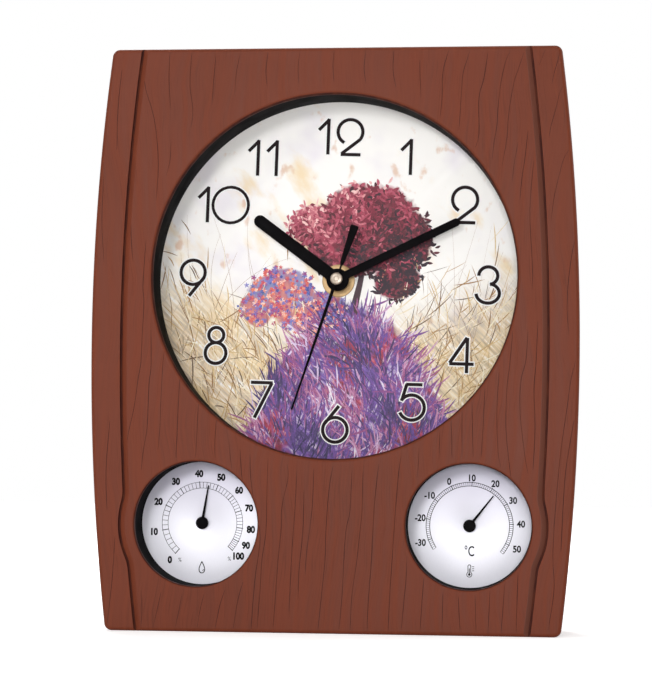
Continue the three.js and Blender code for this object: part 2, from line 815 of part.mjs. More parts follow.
const gaugeHubBack = gaugeFaceDepth - needleLift;
const colletBack = gaugeCupFloorDepth - (gaugeSpiralRoom - colletLength) / 2;
const spiralBack = gaugeCupFloorDepth - (gaugeSpiralRoom - spiralStripWidth) / 2;

function gaugeCup() {
  const rim = gaugeLensRadius;
  const depth = gaugeCupBack - gaugeCupDepth;
  const ledge = gaugeCupBack - gaugeFaceBack - seatGap;
  let cup = disc(rim, gaugeSides, depth);
  cup = cup.subtract(disc(gaugeCupBore, gaugeSides, depth - ledge + cutOverrun, ledge));
  cup = cup.subtract(disc(gaugeCupBore - gaugeCupLedge, gaugeSides, depth, gaugeCupFloor));
  const postHeight = ledge - runningGap;
  const postAcrossCup = spiralOuterRadius + spiralPostRadius + seatGap + spiralStripThickness;
  cup = cup.add(at(disc(spiralPostRadius, smallSides, postHeight), postAcrossCup, 0));
  const tall = gaugeCupFloor + 2 * cutOverrun;
  cup = cup.subtract(disc(spindleRadius + seatGap, smallSides, tall, -cutOverrun));
  for (let i = 0; i < gaugeVentCount; i += 1) {
    const turn = 2 * Math.PI * (i + 1 / 2) / gaugeVentCount;
    const vent = disc(gaugeVentRadius, smallSides, tall, -cutOverrun);
    cup = cup.subtract(at(vent, gaugeVentCircle * Math.cos(turn), gaugeVentCircle * Math.sin(turn)));
  }
  return cup;
}

// A flat strip wound into an open spiral, from the collet out to the post on the cup.
function spiralStrip() {
  const start = colletRadius + seatGap;
  const steps = spiralTurns * spiralStepsPerTurn;
  const rings = [];
  for (let i = 0; i <= steps; i += 1) {
    const turn = -2 * Math.PI * spiralTurns * (1 - i / steps);
    const inner = start + (spiralOuterRadius - start) * i / steps;
    const outer = inner + spiralStripThickness;
    const section = [[inner, 0], [outer, 0], [outer, spiralStripWidth], [inner, spiralStripWidth]];
    rings.push(section.map(([radius, lift]) =>
      new THREE.Vector3(radius * Math.cos(turn), radius * Math.sin(turn), lift)).reverse());
  }
  return loft(rings);
}

function gaugePointer() {
  const hubRise = needleHubHeight / 3;
  const needle = plate([
    vector(-needleBaseWidth / 2, 0),
    vector(needleBaseWidth / 2, 0),
    vector(needleTipWidth / 2, needleLength),
    vector(-needleTipWidth / 2, needleLength),
  ], [], needleThickness, hubRise);
  const hub = turned([
    [0, 0],
    [needleHubRadius, 0],
    [needleHubRadius, needleHubHeight - hubRise],
    [needleHubRadius - hubRise, needleHubHeight],
    [0, needleHubHeight],
  ], mediumSides);
  const tail = gaugeCupFloorDepth + pivotEntry - gaugeHubBack;
  const spindle = disc(spindleRadius, smallSides, tail + hubRise, -tail);
  const collet = disc(colletRadius, smallSides, colletLength, gaugeHubBack - colletBack);
  return needle.add(hub).add(spindle).add(collet);
}

function addGauge(name, across, reading) {
  const up = -gaugeDrop;
  addPiece(`${name}_lens`, disc(gaugeLensRadius, gaugeSides, gaugeLensThickness), clearLens, {
    across,
    up,
    depth: gaugeLensDepth + gaugeLensThickness,
  });
  addPiece(`${name}_cup`, gaugeCup(), blackPlastic, { across, up, depth: gaugeCupBack });
  const face = tube(gaugeCupBore - seatGap, spindleRadius + runningGap, gaugeSides, gaugeFaceThickness);
  addPiece(`${name}_face`, face, silverFace, { across, up, depth: gaugeFaceBack });
  addPiece(`${name}_pointer`, gaugePointer(), handBlack, {
    across,
    up,
    depth: gaugeHubBack,
    turn: -reading,
  });
  addPiece(`${name}_spiral`, spiralStrip(), copper, { across, up, depth: spiralBack });
  const clamp = tube(gaugeWellRadius, gaugeClampBore, gaugeSides, gaugeClampThickness);
  addPiece(`${name}_clamp`, clamp, coverPlastic, {
    across,
    up,
    depth: gaugeCupBack + seatGap + gaugeClampThickness,
  });
}

addGauge('hygrometer', -gaugeSpread, hygrometerReading);
addGauge('thermometer', gaugeSpread, thermometerReading);

// Movement: wheel layers, counted back from the front plate

const layerFront = (layer) => movementInnerDepth + seatGap + layer * layerPitch;
const layerBack = (layer) => layerFront(layer) + wheelThickness;
const hourLayer = 0;
const settingLayer = 1;
const centreLayer = 2;
const bridgeLayer = 3;
const thirdLayer = 4;
const secondLayer = 5;
const intermediateLayer = 6;

const polar = (from, distance, bearing) =>
  vector(from.x + distance * Math.cos(bearing), from.y + distance * Math.sin(bearing));
const centreAxis = vector(0, 0);
const thirdAxis = polar(centreAxis, thirdDistance, thirdBearing);
const intermediateAxis = polar(centreAxis, intermediateDistance, intermediateBearing);
const rotorAxis = polar(intermediateAxis, rotorDistance, rotorBearing);
const settingAxis = polar(centreAxis, settingDistance, settingBearing);

// Modules follow from the distance between two axes and the teeth that mesh there.
const moduleOf = (distance, teethA, teethB) => 2 * distance / (teethA + teethB);
const thirdToCentreModule = moduleOf(thirdDistance, centreTeeth, thirdPinionTeeth);
const thirdToSecondModule = moduleOf(thirdDistance, thirdTeeth, secondPinionTeeth);
const intermediateToSecondModule = moduleOf(intermediateDistance, secondTeeth, intermediatePinionTeeth);
const rotorModule = moduleOf(rotorDistance, intermediateTeeth, rotorPinionTeeth);
const cannonModule = moduleOf(settingDistance, settingTeeth, cannonTeeth);
const hourModule = moduleOf(settingDistance, hourTeeth, settingPinionTeeth);

// A tooth of gear A lies on the line of centres halfway between two teeth of gear B.
function meshTurn(turnA, teethA, teethB, bearing) {
  const stepsA = (bearing - turnA) * teethA / (2 * Math.PI);
  return bearing + Math.PI - (1 / 2 - stepsA) * 2 * Math.PI / teethB;
}

const centreTurn = 0;
const thirdTurn = meshTurn(centreTurn, centreTeeth, thirdPinionTeeth, thirdBearing);
const secondTurn = meshTurn(thirdTurn, thirdTeeth, secondPinionTeeth, thirdBearing + Math.PI);
const intermediateTurn = meshTurn(secondTurn, secondTeeth, intermediatePinionTeeth, intermediateBearing);
const rotorTurn = meshTurn(intermediateTurn, intermediateTeeth, rotorPinionTeeth, rotorBearing);
const settingTurn = meshTurn(centreTurn, cannonTeeth, settingTeeth, settingBearing);
const hourTurn = meshTurn(settingTurn, settingPinionTeeth, hourTeeth, settingBearing + Math.PI);

// Gear outline of pointed teeth, one of them centred on the x axis.
function gearOutline(teeth, module) {
  const pitchRadius = teeth * module / 2;
  const root = pitchRadius - dedendumShare * module;
  const tip = pitchRadius + addendumShare * module;
  const pitchTurn = 2 * Math.PI / teeth;
  const rootHalf = toothRootShare / 2 * pitchTurn;
  const corners = [[root, -rootHalf], [tip, 0], [root, rootHalf]];
  const points = [];
  for (let i = 0; i < teeth; i += 1) {
    for (const [radius, offset] of corners) {
      const turn = i * pitchTurn + offset;
      points.push(vector(radius * Math.cos(turn), radius * Math.sin(turn)));
    }
  }
  return points;
}

// Solids on one arbor, each given by its front and back depth, joined into one piece.
// The result's z = 0 lies at the deepest of them.
function arborPiece(sections) {
  const deepest = Math.max(...sections.map((section) => section.back));
  return sections
    .map(({ outline, front, back }) => plate(outline, [], back - front, deepest - back))
    .reduce((joined, next) => joined.add(next));
}

const arborFrontEnd = movementInnerDepth - pivotEntry;
const arborBackEnd = movementCoverDepth + pivotEntry;
const bridgeFrontDepth = layerFront(bridgeLayer);
const bridgeArborEnd = layerBack(bridgeLayer) - pivotEntry;
const arborOutline = circle(arborRadius, smallSides);

function addOnAxis(name, piece, material, axis, depth, turn = 0) {
  addPiece(name, piece, material, { across: axis.x, up: mainCentreUp + axis.y, depth, turn });
}

function hourWheel() {
  const front = hourHandDepth - handThickness - seatGap;
  const back = layerBack(hourLayer);
  const piece = arborPiece([
    { outline: gearOutline(hourTeeth, hourModule), front: layerFront(hourLayer), back },
    { outline: circle(hourTubeRadius, mediumSides), front, back },
  ]);
  const bore = disc(hourTubeBore, mediumSides, back - front + 2 * cutOverrun, -cutOverrun);
  return piece.subtract(bore);
}

addOnAxis('hour_wheel', hourWheel(), wheelPlastic, centreAxis, layerBack(hourLayer), hourTurn);

function centreWheel() {
  const front = minuteHandDepth - handThickness - seatGap;
  const back = layerBack(centreLayer);
  const piece = arborPiece([
    { outline: gearOutline(centreTeeth, thirdToCentreModule), front: layerFront(centreLayer), back },
    { outline: gearOutline(cannonTeeth, cannonModule), front: layerFront(settingLayer), back },
    { outline: circle(minuteTubeRadius, mediumSides), front, back },
  ]);
  const bore = secondArborRadius + runningGap;
  return piece.subtract(disc(bore, mediumSides, back - front + 2 * cutOverrun, -cutOverrun));
}

addOnAxis('centre_wheel', centreWheel(), wheelPlastic, centreAxis, layerBack(centreLayer), centreTurn);

const thirdWheel = arborPiece([
  {
    outline: gearOutline(thirdTeeth, thirdToSecondModule),
    front: layerFront(thirdLayer),
    back: layerBack(thirdLayer),
  },
  {
    outline: gearOutline(thirdPinionTeeth, thirdToCentreModule),
    front: layerFront(centreLayer),
    back: layerBack(centreLayer),
  },
  { outline: arborOutline, front: arborFrontEnd, back: arborBackEnd },
]);
addOnAxis('third_wheel', thirdWheel, wheelPlastic, thirdAxis, arborBackEnd, thirdTurn);

const secondArborFront = capDepth - capHeight / 2 + seatGap;
const secondWheel = arborPiece([
  {
    outline: gearOutline(secondTeeth, intermediateToSecondModule),
    front: layerFront(secondLayer),
    back: layerBack(secondLayer),
  },
  {
    outline: gearOutline(secondPinionTeeth, thirdToSecondModule),
    front: layerFront(thirdLayer),
    back: layerBack(secondLayer),
  },
  { outline: circle(secondArborRadius, smallSides), front: secondArborFront, back: arborBackEnd },
]);
addOnAxis('second_wheel', secondWheel, wheelPlastic, centreAxis, arborBackEnd, secondTurn);

const intermediateWheel = arborPiece([
  {
    outline: gearOutline(intermediateTeeth, rotorModule),
    front: layerFront(intermediateLayer),
    back: layerBack(intermediateLayer),
  },
  {
    outline: gearOutline(intermediatePinionTeeth, intermediateToSecondModule),
    front: layerFront(secondLayer),
    back: layerBack(intermediateLayer),
  },
  { outline: arborOutline, front: bridgeArborEnd, back: arborBackEnd },
]);
addOnAxis(
  'intermediate_wheel',
  intermediateWheel,
  wheelPlastic,
  intermediateAxis,
  arborBackEnd,
  intermediateTurn,
);

const rotor = arborPiece([
  {
    outline: gearOutline(rotorPinionTeeth, rotorModule),
    front: layerFront(intermediateLayer),
    back: layerBack(intermediateLayer),
  },
  { outline: arborOutline, front: bridgeArborEnd, back: arborBackEnd },
]);
addOnAxis('rotor', rotor, wheelPlastic, rotorAxis, arborBackEnd, rotorTurn);

const magnetBack = layerBack(intermediateLayer) + runningGap + rotorMagnetHeight;
addOnAxis(
  'rotor_magnet',
  tube(rotorMagnetRadius, arborRadius + seatGap, mediumSides, rotorMagnetHeight),
  magnetGrey,
  rotorAxis,
  magnetBack,
);

const settingWheelBack = layerBack(settingLayer);
const settingWheel = arborPiece([
  {
    outline: gearOutline(settingTeeth, cannonModule),
    front: layerFront(settingLayer),
    back: settingWheelBack,
  },
  {
    outline: gearOutline(settingPinionTeeth, hourModule),
    front: layerFront(hourLayer),
    back: settingWheelBack,
  },
]).subtract(disc(
  settingShaftRadius + seatGap,
  smallSides,
  settingWheelBack - layerFront(hourLayer) + 2 * cutOverrun,
  -cutOverrun,
));
addOnAxis('setting_wheel', settingWheel, wheelPlastic, settingAxis, settingWheelBack, settingTurn);

const knobFrontDepth = movementBackDepth + seatGap;
const knobBackDepth = knobFrontDepth + knobHeight;

function knobOutline() {
  return Array.from({ length: 2 * knobRidges }, (_, i) => {
    const radius = i % 2 ? knobRadius - knobRidgeDepth : knobRadius;
    const turn = Math.PI * i / knobRidges;
    return vector(radius * Math.cos(turn), radius * Math.sin(turn));
  });
}

const settingKnob = arborPiece([
  { outline: knobOutline(), front: knobFrontDepth, back: knobBackDepth },
  { outline: circle(settingShaftRadius, smallSides), front: layerFront(hourLayer), back: knobBackDepth },
]);
addOnAxis('setting_knob', settingKnob, wheelPlastic, settingAxis, knobBackDepth);

// Movement box, cover and bridge

const postUps = [statorTop - statorArmWidth / 2, statorBottom + statorArmWidth / 2];
const boardUp = (boardTop + boardBottom) / 2;
const boardPostAcross = [boardLeft + boardPostInset, boardRight - boardPostInset];
const postPlaces = [
  ...postUps.map((up) => [postAcross, up]),
  ...boardPostAcross.map((across) => [across, boardUp]),
];
const statorFrontDepth = movementInnerDepth + seatGap + statorLayerShare * layerPitch;

function movementCase() {
  const wallEnd = movementCoverDepth - seatGap;
  const depth = wallEnd - movementFrontDepth;
  const outline = rectangle(-movementHalfWidth, movementBottom, movementHalfWidth, movementTop);
  const innerHalf = movementHalfWidth - movementWall;
  let box = plate(outline, [], depth);
  const hollow = depth - movementWall + cutOverrun;
  const wheels = rectangle(-innerHalf, bayWallTop, innerHalf, movementTop - movementWall);
  const bayTop = bayWallTop - bayWallThickness;
  const bay = rectangle(-innerHalf, movementBottom + movementWall, innerHalf, bayTop);
  box = box.subtract(plate(wheels, [], hollow, -cutOverrun)).subtract(plate(bay, [], hollow, -cutOverrun));

  const front = depth;            // z of the box's front face in this solid
  const bushLength = movementFrontDepth - dialDepth + bushReach;
  box = box.add(disc(bushRadius, mediumSides, bushLength + movementWall / 2, front - movementWall / 2));
  const shoulderEnd = bridgeFrontDepth - seatGap;
  const tipEnd = statorFrontDepth - seatGap;
  const inWall = movementWall / 2;
  for (const [across, up] of postPlaces) {
    const shoulder = disc(
      postShoulderRadius,
      smallSides,
      shoulderEnd - movementInnerDepth + inWall,
      wallEnd - shoulderEnd,
    );
    const tip = disc(postRadius, smallSides, tipEnd - movementInnerDepth + inWall, wallEnd - tipEnd);
    box = box.add(at(shoulder, across, up)).add(at(tip, across, up));
  }
  const holeStart = front - movementWall - cutOverrun;
  const wallHole = movementWall + 2 * cutOverrun;
  box = box.subtract(disc(bushBore, mediumSides, bushLength + wallHole, holeStart));
  const pivotHole = disc(arborRadius + seatGap, smallSides, wallHole, holeStart);
  return box.subtract(at(pivotHole, thirdAxis.x, thirdAxis.y));
}

addOnAxis('movement_case', movementCase(), movementBlack, centreAxis, movementCoverDepth - seatGap);

function movementCover() {
  const bottom = bayWallTop - bayWallThickness;
  const outline = rectangle(-movementHalfWidth, bottom, movementHalfWidth, movementTop);
  const holes = [thirdAxis, centreAxis, intermediateAxis, rotorAxis].map((axis) =>
    circle(arborRadius + seatGap, smallSides, axis.x, axis.y));
  holes.push(circle(settingShaftRadius + seatGap, smallSides, settingAxis.x, settingAxis.y));
  return plate(outline, holes, movementCoverThickness);
}

addOnAxis('movement_cover', movementCover(), movementBlack, centreAxis, movementBackDepth);

function trainBridge() {
  const outline = rectangle(bridgeLeft, bridgeBottom, bridgeRight, bridgeTop);
  const holes = [thirdAxis, centreAxis, intermediateAxis, rotorAxis].map((axis) =>
    circle(arborRadius + seatGap, smallSides, axis.x, axis.y));
  holes.push(circle(settingShaftRadius + seatGap, smallSides, settingAxis.x, settingAxis.y));
  for (const [across, up] of postPlaces) holes.push(circle(postRadius + seatGap, smallSides, across, up));
  return plate(outline, holes, wheelThickness);
}

addOnAxis('train_bridge', trainBridge(), wheelPlastic, centreAxis, layerBack(bridgeLayer));

// Stepping motor

function statorPlate() {
  const left = rotorAxis.x - statorHalfWidth;
  const right = rotorAxis.x + statorHalfWidth;
  const armEnd = coilAcross - coilCoreWidth / 2;
  const outline = [
    vector(armEnd, statorBottom),
    vector(right, statorBottom),
    vector(right, statorTop),
    vector(armEnd, statorTop),
    vector(armEnd, statorTop - statorArmWidth),
    vector(left, statorTop - statorArmWidth),
    vector(left, statorBottom + statorArmWidth),
    vector(armEnd, statorBottom + statorArmWidth),
  ];
  const hole = circle(rotorMagnetRadius + runningGap, mediumSides, rotorAxis.x, rotorAxis.y);
  return plate(outline, [hole], statorThickness);
}

addOnAxis('stator', statorPlate(), steel, centreAxis, statorFrontDepth + statorThickness);

const coreBack = statorFrontDepth - seatGap;
const coreOutline = rectangle(
  coilAcross - coilCoreWidth / 2,
  statorBottom,
  coilAcross + coilCoreWidth / 2,
  statorTop,
);
addOnAxis('coil_core', plate(coreOutline, [], coilCoreThickness), steel, centreAxis, coreBack);

// Coil pieces are turned about the core, upright between the stator's arms.
const coilBottom = statorBottom + statorArmWidth + runningGap;
const coilTop = statorTop - statorArmWidth - runningGap;
const coilBore = Math.hypot(coilCoreWidth, coilCoreThickness) / 2 + seatGap;
const coilDepth = coreBack - coilCoreThickness / 2;

function addCoilPiece(name, profile, material) {
  const upright = turned(profile, smallSides).rotate([-90, 0, 0]);
  addOnAxis(name, upright, material, vector(coilAcross, 0), coilDepth);
}

addCoilPiece('coil_bobbin', [
  [coilBore, coilBottom],
  [coilFlangeRadius, coilBottom],
  [coilFlangeRadius, coilBottom + coilFlangeThickness],
  [coilBore + coilBobbinWall, coilBottom + coilFlangeThickness],
  [coilBore + coilBobbinWall, coilTop - coilFlangeThickness],
  [coilFlangeRadius, coilTop - coilFlangeThickness],
  [coilFlangeRadius, coilTop],
  [coilBore, coilTop],
], wheelPlastic);

const windingBottom = coilBottom + coilFlangeThickness + seatGap;
const windingTop = coilTop - coilFlangeThickness - seatGap;
const windingBore = coilBore + coilBobbinWall + seatGap;
addCoilPiece('coil_winding', [
  [windingBore, windingBottom],
  [coilWindingRadius, windingBottom],
  [coilWindingRadius, windingTop],
  [windingBore, windingTop],
], copper);

// Circuit board with its crystal and chip

const boardBackDepth = statorFrontDepth + boardThickness;
const boardOutline = rectangle(boardLeft, boardBottom, boardRight, boardTop);
addOnAxis('circuit_board', plate(boardOutline, [], boardThickness), boardGreen, centreAxis, boardBackDepth);

const crystalDepth = statorFrontDepth - seatGap - crystalRadius;
const crystal = disc(crystalRadius, smallSides, crystalLength, -crystalLength / 2).rotate([0, 90, 0]);
addOnAxis('quartz_crystal', crystal, steel, vector(crystalAcross, crystalUp), crystalDepth);

const chipHalf = chipSize / 2;
const chip = plate(rectangle(-chipHalf, -chipHalf, chipHalf, chipHalf), [], chipThickness);
const chipDepth = boardBackDepth + seatGap + chipThickness;
addOnAxis('timer_chip', chip, blackPlastic, vector(chipAcross, boardUp), chipDepth);

// Battery across the bottom of the box, with a spring contact at each end

const bayFloor = movementBottom + movementWall;
const batteryUp = (bayFloor + bayWallTop - bayWallThickness) / 2;
const batteryDepth = movementInnerDepth + seatGap + batteryRadius;
const batteryBody = turned([
  [0, 0],
  [batteryRadius - batteryEdgeRound, 0],
  [batteryRadius, batteryEdgeRound],
  [batteryRadius, batteryLength - batteryNubLength - batteryEdgeRound],
  [batteryRadius - batteryEdgeRound, batteryLength - batteryNubLength],
  [batteryNubRadius, batteryLength - batteryNubLength],
  [batteryNubRadius, batteryLength],
  [0, batteryLength],
], mediumSides);
const battery = at(batteryBody, 0, 0, -batteryLength / 2).rotate([0, 90, 0]);
addOnAxis('battery', battery, batteryBlue, vector(0, batteryUp), batteryDepth);

// An upright tab against the cell's end.
function batteryContact(side) {
  const inner = batteryLength / 2 + seatGap;
  const outer = inner + contactThickness;
  const edges = [side * inner, side * outer].sort((a, b) => a - b);
  const half = contactHeight / 2;
  return plate(rectangle(edges[0], -half, edges[1], half), [], contactWidth, -contactWidth / 2);
}

for (const [name, side] of [['battery_contact_plus', 1], ['battery_contact_minus', -1]]) {
  addOnAxis(name, batteryContact(side), steel, vector(0, batteryUp), batteryDepth);
}

export default clock;
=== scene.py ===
"""A wall clock with a hygrometer and a thermometer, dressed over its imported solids."""
import math
import random

import bmesh
import bpy
from bpy.props import FloatProperty, FloatVectorProperty, IntProperty, PointerProperty
from bpy.types import Operator, Panel, PropertyGroup
from mathutils import Matrix, Vector


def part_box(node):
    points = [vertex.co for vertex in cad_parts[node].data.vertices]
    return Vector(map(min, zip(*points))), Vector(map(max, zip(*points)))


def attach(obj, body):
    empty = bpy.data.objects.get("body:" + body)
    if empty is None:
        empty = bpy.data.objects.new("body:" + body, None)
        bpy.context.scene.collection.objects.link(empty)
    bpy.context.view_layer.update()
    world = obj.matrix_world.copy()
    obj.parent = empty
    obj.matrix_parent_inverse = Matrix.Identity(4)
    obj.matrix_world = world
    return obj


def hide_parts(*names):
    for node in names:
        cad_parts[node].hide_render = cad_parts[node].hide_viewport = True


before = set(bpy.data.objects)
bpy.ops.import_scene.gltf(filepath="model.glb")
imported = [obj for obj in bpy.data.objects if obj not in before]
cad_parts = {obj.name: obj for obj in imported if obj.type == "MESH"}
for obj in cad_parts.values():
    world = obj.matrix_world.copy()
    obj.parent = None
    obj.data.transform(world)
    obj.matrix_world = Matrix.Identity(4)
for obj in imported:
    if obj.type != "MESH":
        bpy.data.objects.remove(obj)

bl_info = {
    "name": "Weather Clock",
    "version": (1, 0, 0),
    "blender": (4, 5, 0),
    "location": "3D View > Sidebar > Clock",
    "description": "Builds the visible pieces of a wall clock with two weather gauges",
    "category": "Add Mesh",
}

MM = 0.001
TINY = 1e-7
MERGE = 1e-6                                  # points nearer than this are one
SHARP = math.radians(35)                      # an edge that turns more than this is shaded sharp
UPRIGHT = Matrix.Rotation(math.pi / 2, 4, "X")    # stands up what is drawn lying flat
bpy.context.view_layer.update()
CASING = "casing"                             # the body that everything fixed rides on
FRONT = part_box("front_frame")[0].y            # depths are counted back from this plane
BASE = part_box("front_frame")[0].z
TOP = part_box("front_frame")[1].z
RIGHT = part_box("front_frame")[1].x
SCREWS = {"rear": 6, "hanger": 2, "dial": 4}
COVER_HOLE, SMALL_HOLE = 1.6 * MM, 1.4 * MM    # radii of the holes for the rear screws and the others
DIAL_FACETS, GAUGE_FACETS, WELL_FACETS = 192, 144, 96     # steps round the dial's and gauges' bodies


def middle(node):
    low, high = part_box(node)
    return (low + high) / 2


def radius_of(node):
    low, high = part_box(node)
    return (high.x - low.x) / 2


def depths(node):
    """Where a node starts and ends, counted back from the casing's front."""
    low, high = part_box(node)
    return low.y - FRONT, high.y - FRONT


def screw_nodes(kind):
    return [f"{kind}_screw_{i + 1}" for i in range(SCREWS[kind])]


def screw_places(kind):
    return [middle(node) for node in screw_nodes(kind)]


HUB = middle("clock_lens")                    # the line that the hands turn about
GAUGES = {name: middle(f"{name}_lens") for name in ("hygrometer", "thermometer")}


# Sizes and colours that a user would change

def length(name, millimetres, description):
    return FloatProperty(
        name=name, description=description, default=millimetres * MM, min=0, unit="LENGTH", precision=5)


def angle(name, degrees, description):
    return FloatProperty(
        name=name, description=description, default=math.radians(degrees), subtype="ANGLE")


def count(name, number, description):
    return IntProperty(name=name, description=description, default=number, min=0)


def tint(name, red, green, blue, description):
    """A colour given as the eye sees it, from 0 to 255, and kept linear."""
    linear = [((v / 255 + 0.055) / 1.055) ** 2.4 if v > 10 else v / 255 / 12.92
              for v in (red, green, blue)]
    return FloatVectorProperty(
        name=name, description=description, default=linear, size=3, min=0, max=1, subtype="COLOR")


class ClockCasingSizes(PropertyGroup):
    side_arc: length("Side arc", 1208, "Radius of the casing's bowed sides")
    corner: length("Corner", 4, "Radius of the casing's four corners")
    edge_round: length("Edge rounding", 2, "Rounding along the front edge")
    front_wall: length("Front wall", 3, "Thickness of the casing's front")
    side_wall: length("Side wall", 2.6, "Thickness of the casing's sides")
    main_opening: length("Main opening", 93.6, "Radius of the opening for the dial")
    main_lip: length("Main lip", 2, "Rounding of the main opening's lip")
    gauge_opening: length("Gauge opening", 31.75, "Radius of each gauge's opening")
    gauge_lip: length("Gauge lip", 1.3, "Rounding of a gauge opening's lip")
    groove_inset: length("Groove inset", 15.9, "From the casing's side to the groove's deepest line")
    groove_bow: length("Groove bow", 39.4, "Radius of the groove's bow round a gauge")
    groove_depth: length("Groove depth", 1.5, "Depth of each groove")
    groove_slope: length("Groove slope", 2.6, "Width of the groove's gentle side")
    groove_steep: length("Groove steep side", 0.5, "Width of the groove's steep side")
    grain_width: length("Grain width", 0.38, "Width of an engraved grain line")
    grain_depth: length("Grain depth", 0.09, "Depth of an engraved grain line")


class ClockDialSizes(PropertyGroup):
    numeral_height: length("Numeral height", 19, "Height of the hour numerals")
    stroke: length("Stroke", 1.75, "Width of a numeral's stroke")
    halo: length("Halo", 0.6, "Width of the pale line round each numeral")
    ink: length("Ink", 0.05, "How far printed marks stand proud")
    leaves: count("Leaves", 1700, "Leaves printed in the tree's crown")
    blossoms: count("Blossoms", 420, "Flowers printed on the shrub")
    reeds: count("Reeds", 34, "Reeds printed at the sides")
    heather: count("Heather", 1500, "Blades printed on the mound")
    grasses: count("Grasses", 520, "Straw blades printed at the sides")
    seed: IntProperty(name="Seed", description="Seed for the printed meadow", default=11)


class ClockHandSizes(PropertyGroup):
    hour_length: length("Hour length", 54.6, "From the hub's middle to the hour hand's end")
    hour_width: length("Hour width", 6.4, "Width of the hour hand")
    hour_hub: length("Hour hub", 5.9, "Radius of the hour hand's hub")
    minute_length: length("Minute length", 70.6, "From the hub's middle to the minute hand's end")
    minute_width: length("Minute width", 4.2, "Width of the minute hand")
    minute_hub: length("Minute hub", 5.4, "Radius of the minute hand's hub")
    second_length: length("Second length", 72, "From the hub's middle to the second hand's end")
    second_base: length("Second base", 1.8, "Width of the second hand at its hub")
    second_tip: length("Second tip", 0.9, "Width of the second hand at its end")
    tail_length: length("Tail length", 29.5, "Length of the second hand's tail")
    tail_width: length("Tail width", 4.4, "Width of the tail's end")
    needle_length: length("Needle length", 19.8, "From a gauge's hub to its needle's end")
    needle_base: length("Needle base", 1.5, "Width of a needle at its hub")
    needle_tip: length("Needle tip", 0.6, "Width of a needle at its end")
    needle_hub: length("Needle hub", 3.25, "Radius of a needle's hub")
    hour_turn: angle("Hour hand", 306.9, "Clockwise from twelve")
    minute_turn: angle("Minute hand", 64.3, "Clockwise from twelve")
    second_turn: angle("Second hand", 198.6, "Clockwise from twelve")
    hygrometer_turn: angle("Hygrometer", 9.2, "Clockwise from upright")
    thermometer_turn: angle("Thermometer", 38.2, "Clockwise from upright")


class ClockGaugeSizes(PropertyGroup):
    numeral_height: length("Numeral height", 3.9, "Height of the gauges' numerals")
    numeral_circle: length("Numeral circle", 25.7, "Radius on which the hygrometer's numerals stand")
    line: length("Line", 0.24, "Width of a scale's fine lines")
    ten_line: length("Ten line", 0.42, "Width of a mark at each ten")
    hygrometer_inner: length("Hygrometer inner ring", 18.1, "Inner radius of the hygrometer's scale")
    hygrometer_outer: length("Hygrometer outer ring", 21.2, "Outer radius of the hygrometer's scale")
    thermometer_inner: length("Thermometer inner ring", 20.5, "Inner radius of the thermometer's scale")
    thermometer_outer: length("Thermometer outer ring", 22.4, "Outer radius of the thermometer's scale")


class ClockColours(PropertyGroup):
    casing: tint("Casing", 105, 50, 32, "Moulded wood-look plastic")
    # Also laid as painted shade on the openings' lips and on the grooves' bottoms and steep sides
    grain: tint("Grain", 58, 24, 18, "Paint in the engraved grain")
    # Painted shade, laid only on the right groove's gentle side
    glaze: tint("Glaze", 98, 56, 44, "Darker glaze on the grooves' gentle sides")
    black: tint("Black plastic", 9, 8, 9, "Ring and cups behind the lenses")
    cover: tint("Cover plastic", 44, 38, 36, "Rear cover and clamps")
    movement: tint("Movement plastic", 30, 30, 32, "The movement's box")
    paper: tint("Paper", 250, 247, 243, "The dial's ground")
    lilac: tint("Lilac", 226, 218, 230, "Cool wash on the dial's ground")
    straw: tint("Straw", 226, 196, 140, "Dry grass on the dial")
    burgundy: tint("Burgundy", 132, 34, 58, "The tree's leaves")
    violet: tint("Violet", 96, 66, 136, "The mound of heather")
    ink: tint("Ink", 26, 15, 17, "Hour numerals")
    gauge_ink: tint("Gauge ink", 10, 10, 14, "Marks on the gauge faces")
    silver: tint("Silver", 226, 225, 233, "Gauge faces")
    hand: tint("Hands", 10, 8, 10, "Hands and needles")
    cap: tint("Cap", 165, 150, 134, "Cap on the second hand")
    brass: tint("Brass", 158, 130, 91, "Washer and nut")
    steel: tint("Steel", 190, 191, 194, "Screws, hanger and contacts")
    natural: tint("Natural plastic", 236, 231, 218, "Wheels and knob")
    copper: tint("Copper", 190, 108, 66, "Winding and spirals")
    board: tint("Circuit board", 34, 92, 58, "Circuit board")
    magnet: tint("Magnet", 70, 70, 76, "Rotor magnet")
    jacket: tint("Battery jacket", 36, 52, 84, "The cell's printed jacket")


# Meshes

def mesh_of(shape):
    """A mesh from a bmesh, with its faces turned outwards."""
    bmesh.ops.recalc_face_normals(shape, faces=shape.faces)
    if shape.calc_volume(signed=True) < 0:
        bmesh.ops.reverse_faces(shape, faces=shape.faces)
    mesh = bpy.data.meshes.new("shape")
    shape.to_mesh(mesh)
    shape.free()
    return mesh


def evaluated(holder):
    """The mesh that an object's modifiers give; the object itself is taken away."""
    bpy.context.view_layer.update()
    graph = bpy.context.evaluated_depsgraph_get()
    mesh = bpy.data.meshes.new_from_object(holder.evaluated_get(graph), depsgraph=graph)
    bpy.data.objects.remove(holder)
    return mesh


def holder_of(data, name="holder"):
    holder = bpy.data.objects.new(name, data)
    bpy.context.scene.collection.objects.link(holder)
    return holder


def piece(name, mesh, look, nodes=(), body=CASING):
    """Makes a mesh a piece of the clock; without a look it keeps the materials that it has."""
    if look:
        mesh.materials.clear()
        mesh.materials.append(finish(look))
    if not mesh.has_custom_normals:
        mesh.shade_smooth()
        mesh.set_sharp_from_angle(angle=SHARP)
    made = holder_of(mesh, name)
    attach(made, body)
    if nodes:
        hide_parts(*nodes)


def joined(meshes):
    """Several meshes as one, with their material numbers kept."""
    shape = bmesh.new()
    for mesh in meshes:
        shape.from_mesh(mesh)
    whole = bpy.data.meshes.new("joined")
    shape.to_mesh(whole)
    shape.free()
    return whole


